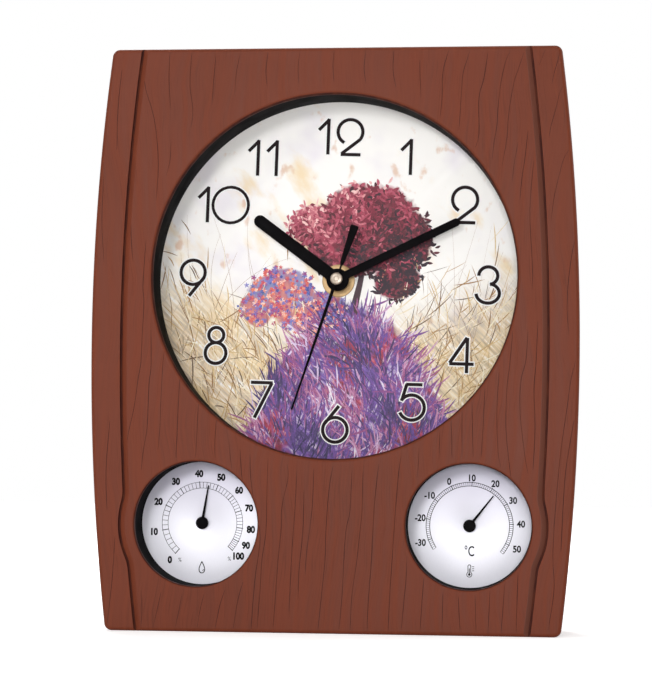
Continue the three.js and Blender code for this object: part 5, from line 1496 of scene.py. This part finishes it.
def lettering(text, tall, x, z, depth, weight=0.0, wide=0.88):
    """Flat printed characters, centred on a place and condensed to a share of their width."""
    curve = bpy.data.curves.new("text", "FONT")
    curve.body = text
    curve.size = 1
    curve.extrude = 0.5
    curve.offset = weight
    curve.resolution_u = 4
    mesh = evaluated(holder_of(curve))
    corners = [v.co for v in mesh.vertices]
    low = Vector(min(c[i] for c in corners) for i in range(3))
    high = Vector(max(c[i] for c in corners) for i in range(3))
    scale = tall / (high.y - low.y)
    mesh.transform(
        Matrix.Translation((x, depth, z)) @ UPRIGHT
        @ Matrix.Diagonal((wide * scale, scale, 0.05 * MM, 1)) @ Matrix.Translation(-(low + high) / 2))
    return mesh


def ring_line(centre, radius, width, start, end, depth):
    """A fine printed line round a scale, from one turn to another."""
    turns = (start + (end - start) * i / 120 for i in range(121))
    return stroke([at_turn(centre, radius, turn) for turn in turns], width, depth - 0.04 * MM, depth)


def scale_marks(centre, turns, width, inner, outer, depth):
    places = [(centre.x, FRONT + depth, centre.z)] * len(turns)
    return grown(marks_tree, places, (), {"turn": turns}, Width=width, Length=outer - inner,
                 Height=0.07 * MM, Radius=inner, Finish=finish("gauge_ink"))


# The turn in degrees of each ten on the hygrometer
HUMIDITY = {0: -138.8, 10: -100.8, 20: -65, 30: -33.5, 40: -4.6, 50: 22.1, 60: 48, 70: 72.1, 80: 97.1,
            90: 116.5, 100: 131.5}
# The thermometer's even scale, and the radius in millimetres on which each of its numerals stands
AT_TEN, PER_DEGREE = 3.1, 2.81
TEMPERATURE_RADII = {
    -30: 26.7, -20: 25.7, -10: 25.8, 0: 25.1, 10: 24.7, 20: 25.5, 30: 26.0, 40: 26.4, 50: 27.0}


def humidity_turn(value):
    below = min(90, value // 10 * 10)
    return HUMIDITY[below] + (HUMIDITY[below + 10] - HUMIDITY[below]) * (value - below) / 10


def temperature_turn(value):
    return AT_TEN + PER_DEGREE * (value - 10)


def drop_sign(centre, radius, depth):
    """A drop of water in outline, with a glint."""
    x, z = at_turn(centre, radius, math.pi)
    wide, front = 1.55 * MM, depth - 0.05 * MM
    points = [(x + wide * math.sin(t) * math.sin(t / 2) ** 1.3, z + 2.3 * MM * math.cos(t))
              for t in (2 * math.pi * i / 40 for i in range(40))]
    glint = [(x + 0.75 * MM, z - 0.9 * MM), (x + 0.3 * MM, z - 1.5 * MM)]
    return [stroke(points + points[:1], 0.36 * MM, front, depth), stroke(glint, 0.3 * MM, front, depth)]


def thermometer_sign(centre, radius, depth):
    """A small thermometer in outline, with its column and three marks."""
    x, z = at_turn(centre, radius, math.pi)
    bulb, tube = 1.0 * MM, 0.55 * MM
    low = z - 1.5 * MM
    spread = math.asin(tube / bulb)
    points = [(x + a, low + b) for a, b in hub_arc(bulb, spread, 2 * math.pi - spread, 24)]
    points += [(x + a, z + 1.8 * MM + b) for a, b in hub_arc(tube, -math.pi / 2, math.pi / 2, 10)]
    front = depth - 0.05 * MM
    marks = [stroke([(x + 1.1 * MM, z + k * MM), (x + 1.9 * MM, z + k * MM)], 0.26 * MM, front, depth)
             for k in (0, 0.8, 1.6)]
    column = stroke([(x, low), (x, z + 0.9 * MM)], 0.34 * MM, front, depth)
    dot = turned([(0, depth), (0.5 * MM, depth), (0.5 * MM, front), (0, front)], Vector((x, 0, low)), 16)
    return [stroke(points + points[:1], 0.28 * MM, front, depth), column, dot, *marks]


def gauge_print(sizes, name):
    """The scale, numerals and sign of a gauge's face."""
    centre = GAUGES[name]
    depth = depths(f"{name}_face")[0]
    front = FRONT + depth
    below = 23 * MM                           # how far under the hub the sign stands
    if name == "hygrometer":
        inner, outer = sizes.hygrometer_inner, sizes.hygrometer_outer
        tens = {value: math.radians(turn) for value, turn in HUMIDITY.items()}
        fine = [math.radians(humidity_turn(v)) for v in range(0, 101, 2)]
        radii = {value: sizes.numeral_circle for value in tens}
        weight, thick, ring, tall = 0.06, sizes.line, sizes.line, sizes.numeral_height
        words = [lettering("%", 2.1 * MM, centre.x + x * MM, centre.z + z * MM, front)
                 for x, z in ((-11.6, -19.3), (14.4, -18.4))]
        signs = drop_sign(centre, below, depth)
    else:
        inner, outer = sizes.thermometer_inner, sizes.thermometer_outer
        tens = {value: math.radians(temperature_turn(value)) for value in TEMPERATURE_RADII}
        fine = [math.radians(temperature_turn(v)) for v in range(-35, 56)]
        radii = {value: radius * MM for value, radius in TEMPERATURE_RADII.items()}
        weight, thick, ring, tall = 0.035, 0.9 * sizes.line, 1.4 * sizes.line, 0.94 * sizes.numeral_height
        words = [lettering("°C", 5.6 * MM, centre.x, centre.z - 12.8 * MM, front, 0.012, 0.66)]
        signs = thermometer_sign(centre, below, depth)
    parts = [ring_line(centre, radius, ring, fine[0], fine[-1], depth) for radius in (inner, outer)]
    parts.append(scale_marks(centre, fine, thick, inner, outer, depth))
    parts.append(scale_marks(centre, list(tens.values()), sizes.ten_line, inner, outer + 0.4 * MM, depth))
    for value, turn in tens.items():
        x, z = at_turn(centre, radii[value], turn)
        parts.append(lettering(str(value), tall, x, z, front, weight))
    about = Matrix.Translation((centre.x, 0, centre.z - below))
    for sign in signs:
        sign.transform(about @ Matrix.Diagonal((1.3, 1, 1.3, 1)) @ about.inverted())
    return joined(parts + words + signs)


def build_gauge(sizes, hands, name):
    centre = GAUGES[name]
    rim = radius_of(f"{name}_lens")
    lens = round_slab(f"{name}_lens", centre, 0, rim, 0.35 * MM, GAUGE_FACETS)
    piece(f"{name}_glass", lens, "clear_lens", (f"{name}_lens",))

    start, end = depths(f"{name}_cup")
    face_start, face_end = depths(f"{name}_face")
    bore, ledge, hole = rim - 1.8 * MM, rim - 4.2 * MM, 0.9 * MM
    seat, floor = face_end + 0.3 * MM, end - 1.2 * MM
    profile = [(rim, start), (rim, end), (hole, end), (hole, floor), (ledge, floor), (ledge, seat),
               (bore, seat), (bore, start)]
    cup = turned(eased(profile, 0.2 * MM, 2, True), centre, GAUGE_FACETS, True)
    vent_circle, post_out = 14 * MM, 22.85 * MM
    places = (at_turn(centre, vent_circle, math.pi * (2 * i + 1) / 6) for i in range(6))
    vents = [Vector((x, 0, z)) for x, z in places]
    cup = carved(cup, discs(vents, 1.6 * MM, floor - MM, end + MM, 20))
    post = Vector((centre.x + post_out, 0, centre.z))
    cup = carved(cup, discs([post], 1.2 * MM, seat + 0.4 * MM, floor + 0.3 * MM, 20), "UNION")
    piece(f"{name}_housing", cup, "black_plastic", (f"{name}_cup",))

    face = round_slab(
        f"{name}_face", centre, hole + 0.1 * MM, bore - 0.3 * MM, 0.1 * MM, GAUGE_FACETS, 2)
    piece(f"{name}_dial", face, "silver_face", (f"{name}_face",))
    piece(f"{name}_print", gauge_print(sizes, name), "gauge_ink")

    back, tail_end = face_start - 0.7 * MM, depths(f"{name}_pointer")[1]
    front = back - 1.6 * MM                   # of the needle's hub
    needle_back = back - (back - front) / 3
    base, tip = hands.needle_base / 2, hands.needle_tip / 2
    outline = [(base, 0), (-base, 0), (-tip, hands.needle_length), (tip, hands.needle_length)]
    turn = hands.hygrometer_turn if name == "hygrometer" else hands.thermometer_turn
    needle = aimed(plate([outline], needle_back - 0.5 * MM, needle_back, 0.1 * MM), centre, turn)
    hub, pin, collet = hands.needle_hub, 0.6 * MM, 1.8 * MM
    collet_start = floor - 4.2 * MM
    collet_end = collet_start + 3 * MM
    profile = [
        (0, front), (hub - 0.5 * MM, front), (hub, front + 0.5 * MM), (hub, back), (pin, back),
        (pin, collet_start), (collet, collet_start), (collet, collet_end), (pin, collet_end),
        (pin, tail_end), (0, tail_end),
    ]
    whole = carved(turned(eased(profile, 0.25 * MM, 4), centre, 64), [needle], "UNION")
    piece(f"{name}_needle", whole, "hand_black", (f"{name}_pointer",), f"{name}_needle")


# Back: cover, hanger and screws

def build_cover(sizes):
    start, end = depths("rear_cover")
    low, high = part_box("movement_case")
    room = 0.4 * MM                           # left free round the movement's box
    window = (low.x - room, low.z - room, high.x + room, high.z + room)
    hook = middle("hanger_screw_1").z
    outlines = [
        casing_outline(sizes, sizes.side_wall + 0.3 * MM, 60, 6),
        box_outline(*window, 0.6 * MM, 3),
        box_outline(-7.1 * MM, hook - 7.1 * MM, 7.1 * MM, hook + 10.5 * MM, 0.8 * MM, 3),
    ]
    outlines += [circle(COVER_HOLE, m.x, m.z, 24) for m in screw_places("rear")]
    outlines += [circle(SMALL_HOLE, m.x, m.z, 20) for m in screw_places("hanger")]
    half_wide, half_tall, pitch = 12 * MM, 1.5 * MM, 8 * MM     # of the slots behind each gauge
    for gauge in GAUGES.values():
        for i in range(4):
            up = gauge.z + (i - 1.5) * pitch
            outlines.append(box_outline(
                gauge.x - half_wide, up - half_tall, gauge.x + half_wide, up + half_tall, 1.49 * MM, 8))
    cover = plate(outlines, start, end, 0.3 * MM)
    rims = [window]
    rims += [(g.x - 14 * MM, g.z - 15.5 * MM, g.x + 14 * MM, g.z + 15.5 * MM) for g in GAUGES.values()]
    for left, bottom, right, top in rims:
        rim = [box_outline(left - grow, bottom - grow, right + grow, top + grow, grow + 0.6 * MM, 5)
               for grow in (2.6 * MM, 0.8 * MM)]
        cover = carved(cover, [plate(rim, end - 0.6 * MM, end + 0.6 * MM, 0.25 * MM)], "UNION")
    piece("back_cover", weighted(cover), "cover_plastic", ("rear_cover",))

    start, end = depths("hanger_plate")
    hole, slot, rise = 4.6 * MM, 2.4 * MM, 8 * MM
    at_slot = math.asin(slot / hole)
    keyhole = hub_arc(hole, at_slot, 2 * math.pi - at_slot, 32)
    keyhole += [(x, z + rise) for x, z in hub_arc(slot, -math.pi / 2, math.pi / 2, 12)]
    outlines = [box_outline(-18 * MM, hook - 13 * MM, 18 * MM, hook + 13 * MM, 3 * MM, 8),
                [(x, z + hook) for x, z in keyhole]]
    outlines += [circle(SMALL_HOLE, m.x, m.z, 24) for m in screw_places("hanger")]
    hanger = weighted(plate(outlines, start, end, 0.2 * MM))
    piece("hanger", hanger, "steel", ("hanger_plate",))


def screw_shape(shank, long, head, tall):
    """A pan-head screw with a cross recess; its seat is at the origin and its head is at the back."""
    profile = [
        (0, tall), (0.5 * head, 0.97 * tall), (0.8 * head, 0.8 * tall), (0.96 * head, 0.5 * tall),
        (head, 0.12 * tall), (0.97 * head, 0), (shank, 0), (shank, shank - long), (0.3 * shank, -long),
        (0, -long),
    ]
    body = turned(profile, Vector((0, 0, 0)), 16)
    reach, half = 0.52 * head, 0.14 * head
    for wide, high in ((reach, half), (half, reach)):
        slot = plate([box_outline(-wide, -high, wide, high)], 0.45 * tall, tall + MM)
        body = carved(body, [slot])
    body.transform(Matrix.Translation((0, -FRONT, 0)))
    return body


def build_screws():
    """Each kind is given by its shank's radius and length and its head's radius and height, in mm."""
    chance = random.Random(3)
    for kind, dimensions in (
            ("rear", (1.3, 10, 3.1, 1.9)), ("hanger", (1.1, 6, 2.4, 1.4)), ("dial", (1.1, 6, 2.4, 1.4))):
        shape = holder_of(screw_shape(*(d * MM for d in dimensions)))
        nodes = screw_nodes(kind)
        places = [(middle(n).x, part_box(n)[1].y - dimensions[3] * MM, middle(n).z) for n in nodes]
        turns = [chance.uniform(0, math.pi / 2) for _ in nodes]
        mesh = grown(copies_tree, places, (), {"turn": turns, "stretch": [(1, 1, 1)] * len(nodes)},
                     Shape=shape, Finish=finish("steel"))
        bpy.data.objects.remove(shape)
        piece(f"{kind}_screws", mesh, None, nodes)


# Movement

def build_movement():
    for name, node, body, look, ease in (
            ("movement_box", "movement_case", CASING, "movement_black", 0.3),
            ("movement_lid", "movement_cover", CASING, "movement_black", 0.25),
            ("time_knob", "setting_knob", "setting", "wheel_plastic", 0.12),
            ("contact_plus", "battery_contact_plus", CASING, "steel", 0.08),
            ("contact_minus", "battery_contact_minus", CASING, "steel", 0.08)):
        piece(name, refined(node, ease * MM), look, (node,), body)

    low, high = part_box("battery")
    wide, long = (high.z - low.z) / 2, high.x - low.x
    nub, shoulder, foot, neck = 2.75 * MM, long - MM, wide - 0.8 * MM, wide - 0.7 * MM
    profile = [
        (0, 0), (foot, 0), (foot, 0.35 * MM), (wide, 0.35 * MM), (wide, shoulder - 0.5 * MM),
        (neck, shoulder - 0.5 * MM), (neck, shoulder), (nub, shoulder), (nub, long), (0, long),
    ]
    cell = turned(eased(profile, 0.3 * MM), Vector((0, 0, 0)), 64)
    cell.transform(Matrix.Translation((low.x, (low.y + high.y) / 2, (low.z + high.z) / 2))
                   @ Matrix.Rotation(-math.pi / 2, 4, "Z") @ Matrix.Translation((0, -FRONT, 0)))
    piece("aa_cell", cell, "battery_jacket", ("battery",))


def build_marks():
    """Printed marks on the movement's lid: the cell's poles and the way that its knob turns."""
    back = depths("movement_cover")[1]
    knob = middle("setting_knob")
    low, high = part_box("battery")
    left, right, up = low.x + 3 * MM, high.x - 3 * MM, high.z + 3.4 * MM
    lines = [[(x - MM, up), (x + MM, up)] for x in (left, right)]
    lines.append([(right, up - MM), (right, up + MM)])
    for turn in (20, 200):
        bow = arc(knob.x, knob.z, 7 * MM, 7 * MM, turn, turn + 120)
        tip = Vector(bow[-1])
        along = (tip - Vector(bow[-2])).normalized()
        behind, barb = tip - along * 1.6 * MM, Vector((-along.y, along.x)) * 1.1 * MM
        lines += [bow, [tuple(behind + barb), bow[-1]], [tuple(behind - barb), bow[-1]]]
    marks = [stroke(line, 0.4 * MM, back - 0.1 * MM, back + (0.08 + 0.004 * n) * MM)
             for n, line in enumerate(lines)]
    piece("movement_marks", joined(marks), "wheel_plastic")


def record_slot(node):
    """The record's material slot of a CAD node, by the name of its material."""
    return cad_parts[node].data.materials[0].name


def build_finishes():
    """Gives every CAD node that still shows the written finish of its slot."""
    looks = {"coil_winding": "wire"}          # nodes that look different from their slot
    for node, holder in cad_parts.items():
        if holder.hide_render:
            continue
        key = record_slot(node)
        holder.data.materials[0] = finish(looks.get(node, key))


# Stage

def build_stage():
    """Builds a floor and a world that look white but shine little on the clock, lamps and a camera."""
    scene = bpy.context.scene
    white = (1, 1, 1, 1)

    slab = mesh_of(loft([[(x, y, BASE - d) for x, y in ((-3, -3), (3, -3), (3, 4), (-3, 4))]
                         for d in (0.02, 0)]))
    floor = holder_of(slab, "floor")
    made = Finish("Floor", (0.9, 0.9, 0.9), 0.8, gloss=0.1)
    flecks = made.noise(made.placed(), scale=0.02)
    made.set("Base Color", made.mix(flecks, (0.88, 0.88, 0.88), (0.92, 0.92, 0.92)))
    path = step(made.tree, "ShaderNodeLightPath").outputs
    mirrored = made.maths("MAXIMUM", path["Is Glossy Ray"], path["Is Transmission Ray"])
    seen = made.maths("MAXIMUM", path["Is Camera Ray"], mirrored)
    away = step(made.tree, "ShaderNodeVectorMath", {0: made.where}, operation="LENGTH").outputs["Value"]
    glow = step(made.tree, "ShaderNodeEmission", {
        "Color": white, "Strength": made.maths("MULTIPLY", seen, made.fade(away, 0.25, 0.9, 0.5, 1.0))})
    both = step(made.tree, "ShaderNodeAddShader", {0: made.surface.outputs[0], 1: glow.outputs[0]})
    made.tree.links.new(both.outputs[0], made.tree.nodes["Material Output"].inputs["Surface"])
    floor.data.materials.append(made.material)

    world = bpy.data.worlds.new("Studio")
    scene.world = world
    world.use_nodes = True
    tree = world.node_tree
    path = step(tree, "ShaderNodeLightPath").outputs
    first = step(tree, "ShaderNodeMath", {
        0: path["Is Camera Ray"], 1: path["Is Glossy Ray"]}, operation="MAXIMUM")
    seen = step(tree, "ShaderNodeMath", {
        0: first.outputs[0], 1: path["Is Transmission Ray"]}, operation="MAXIMUM")
    strength = step(tree, "ShaderNodeMapRange", {"Value": seen.outputs[0], "To Min": 0.2, "To Max": 1.0})
    back = tree.nodes["Background"]
    back.inputs["Color"].default_value = white
    tree.links.new(strength.outputs[0], back.inputs["Strength"])

    lit = Vector((0, 0, 0.15))                # what the lamps point at
    for name, place, size, power in (
            ("key", (-1.3, -1.3, 0.8), 0.5, 4.5),
            ("front", (-0.4, -2.25, 0.6), 0.5, 17),
            ("fill", (0.15, -2.3, 0.12), 0.4, 19),
            ("top", (0.0, -0.1, 1.5), 0.7, 5),
            ("side", (1.5, 0.35, 0.7), 0.8, 8),
            ("rear", (-0.5, 1.2, 0.9), 0.9, 12)):
        data = bpy.data.lights.new(name, "AREA")
        data.shape = "DISK"
        data.size = size
        data.energy = power
        lamp = holder_of(data, name)
        lamp.location = place
        lamp.rotation_euler = (lit - lamp.location).to_track_quat("-Z", "Y").to_euler()

    # The camera's place and aim fit the photograph's outline and openings
    place, upright = (0.0965, -1.079, 0.08165), (-0.0034, -0.0612, 0.9981)
    data = bpy.data.cameras.new("camera")
    data.lens = 108.2
    camera = holder_of(data, "camera")
    forward = Vector((-0.0942, 0.9937, 0.0606)).normalized()
    right = forward.cross(Vector(upright)).normalized()
    turn = Matrix((right, right.cross(forward), -forward)).transposed().to_4x4()
    camera.matrix_world = Matrix.Translation(place) @ turn
    scene.camera = camera
    scene.view_settings.view_transform = "Standard"


# Add-on

class ClockCasing(Operator):
    """Builds the moulded casing with its openings, grooves, grain, wells and screw bosses"""
    bl_idname = "clock.casing"
    bl_label = "Casing"

    def execute(self, context):
        build_casing(context.scene.clock_casing)
        return {"FINISHED"}


class ClockDial(Operator):
    """Builds the lens, the black ring, the dial board and the washer and nut at the hub"""
    bl_idname = "clock.dial"
    bl_label = "Dial"

    def execute(self, context):
        build_dial()
        return {"FINISHED"}


class ClockPrint(Operator):
    """Builds the marks of the meadow that is printed on the dial"""
    bl_idname = "clock.meadow"
    bl_label = "Printed meadow"

    def execute(self, context):
        build_print(context.scene.clock_dial)
        build_reeds(context.scene.clock_dial)
        return {"FINISHED"}


class ClockNumerals(Operator):
    """Builds the hour numerals with the pale line round them"""
    bl_idname = "clock.numerals"
    bl_label = "Hour numerals"

    def execute(self, context):
        build_numerals(context.scene.clock_dial)
        return {"FINISHED"}


class ClockHands(Operator):
    """Builds the three hands and the cap on the second hand"""
    bl_idname = "clock.hands"
    bl_label = "Hands"

    def execute(self, context):
        build_hands(context.scene.clock_hands)
        return {"FINISHED"}


class ClockGauges(Operator):
    """Builds the hygrometer and the thermometer: lens, cup, face, print and needle"""
    bl_idname = "clock.gauges"
    bl_label = "Gauges"

    def execute(self, context):
        for name in GAUGES:
            build_gauge(context.scene.clock_gauges, context.scene.clock_hands, name)
        return {"FINISHED"}


class ClockCover(Operator):
    """Builds the rear cover and the hanger plate"""
    bl_idname = "clock.cover"
    bl_label = "Rear cover and hanger"

    def execute(self, context):
        build_cover(context.scene.clock_casing)
        return {"FINISHED"}


class ClockScrews(Operator):
    """Builds the screws of the cover, the hanger and the dial"""
    bl_idname = "clock.screws"
    bl_label = "Screws"

    def execute(self, context):
        build_screws()
        return {"FINISHED"}


class ClockMovement(Operator):
    """Builds the movement's box and lid, its knob, the cell and its contacts"""
    bl_idname = "clock.movement"
    bl_label = "Movement"

    def execute(self, context):
        build_movement()
        build_marks()
        return {"FINISHED"}


class ClockFinishes(Operator):
    """Gives the solids that still show their written finishes"""
    bl_idname = "clock.finishes"
    bl_label = "Finishes"

    def execute(self, context):
        build_finishes()
        return {"FINISHED"}


class ClockStage(Operator):
    """Builds the floor, the white surroundings, the lamps and the camera"""
    bl_idname = "clock.stage"
    bl_label = "Stage"

    def execute(self, context):
        build_stage()
        return {"FINISHED"}


GROUPS = (ClockCasingSizes, ClockDialSizes, ClockHandSizes, ClockGaugeSizes, ClockColours)
OPERATORS = (ClockCasing, ClockDial, ClockPrint, ClockNumerals, ClockHands, ClockGauges, ClockCover,
             ClockScrews, ClockMovement, ClockFinishes, ClockStage)
SETTINGS = ("clock_casing", "clock_dial", "clock_hands", "clock_gauges", "clock_colours")


class ClockPanel(Panel):
    """Lists the steps that build the clock, and their sizes and colours"""
    bl_idname = "VIEW3D_PT_weather_clock"
    bl_label = "Weather Clock"
    bl_space_type = "VIEW_3D"
    bl_region_type = "UI"
    bl_category = "Clock"

    def draw(self, context):
        column = self.layout.column(align=True)
        for operator in OPERATORS:
            column.operator(operator.bl_idname)
        for name in SETTINGS:
            box = self.layout.box()
            group = getattr(context.scene, name)
            for key in group.bl_rna.properties.keys():
                if key not in ("rna_type", "name"):
                    box.prop(group, key)


def register():
    for kind in (*GROUPS, *OPERATORS, ClockPanel):
        bpy.utils.register_class(kind)
    for name, group in zip(SETTINGS, GROUPS):
        setattr(bpy.types.Scene, name, PointerProperty(type=group))


def unregister():
    for name in SETTINGS:
        delattr(bpy.types.Scene, name)
    for kind in (ClockPanel, *reversed(OPERATORS), *reversed(GROUPS)):
        bpy.utils.unregister_class(kind)


def main():
    register()
    for operator in OPERATORS:
        category, name = operator.bl_idname.split(".")
        getattr(getattr(bpy.ops, category), name)()


if __name__ == "__main__":
    main()
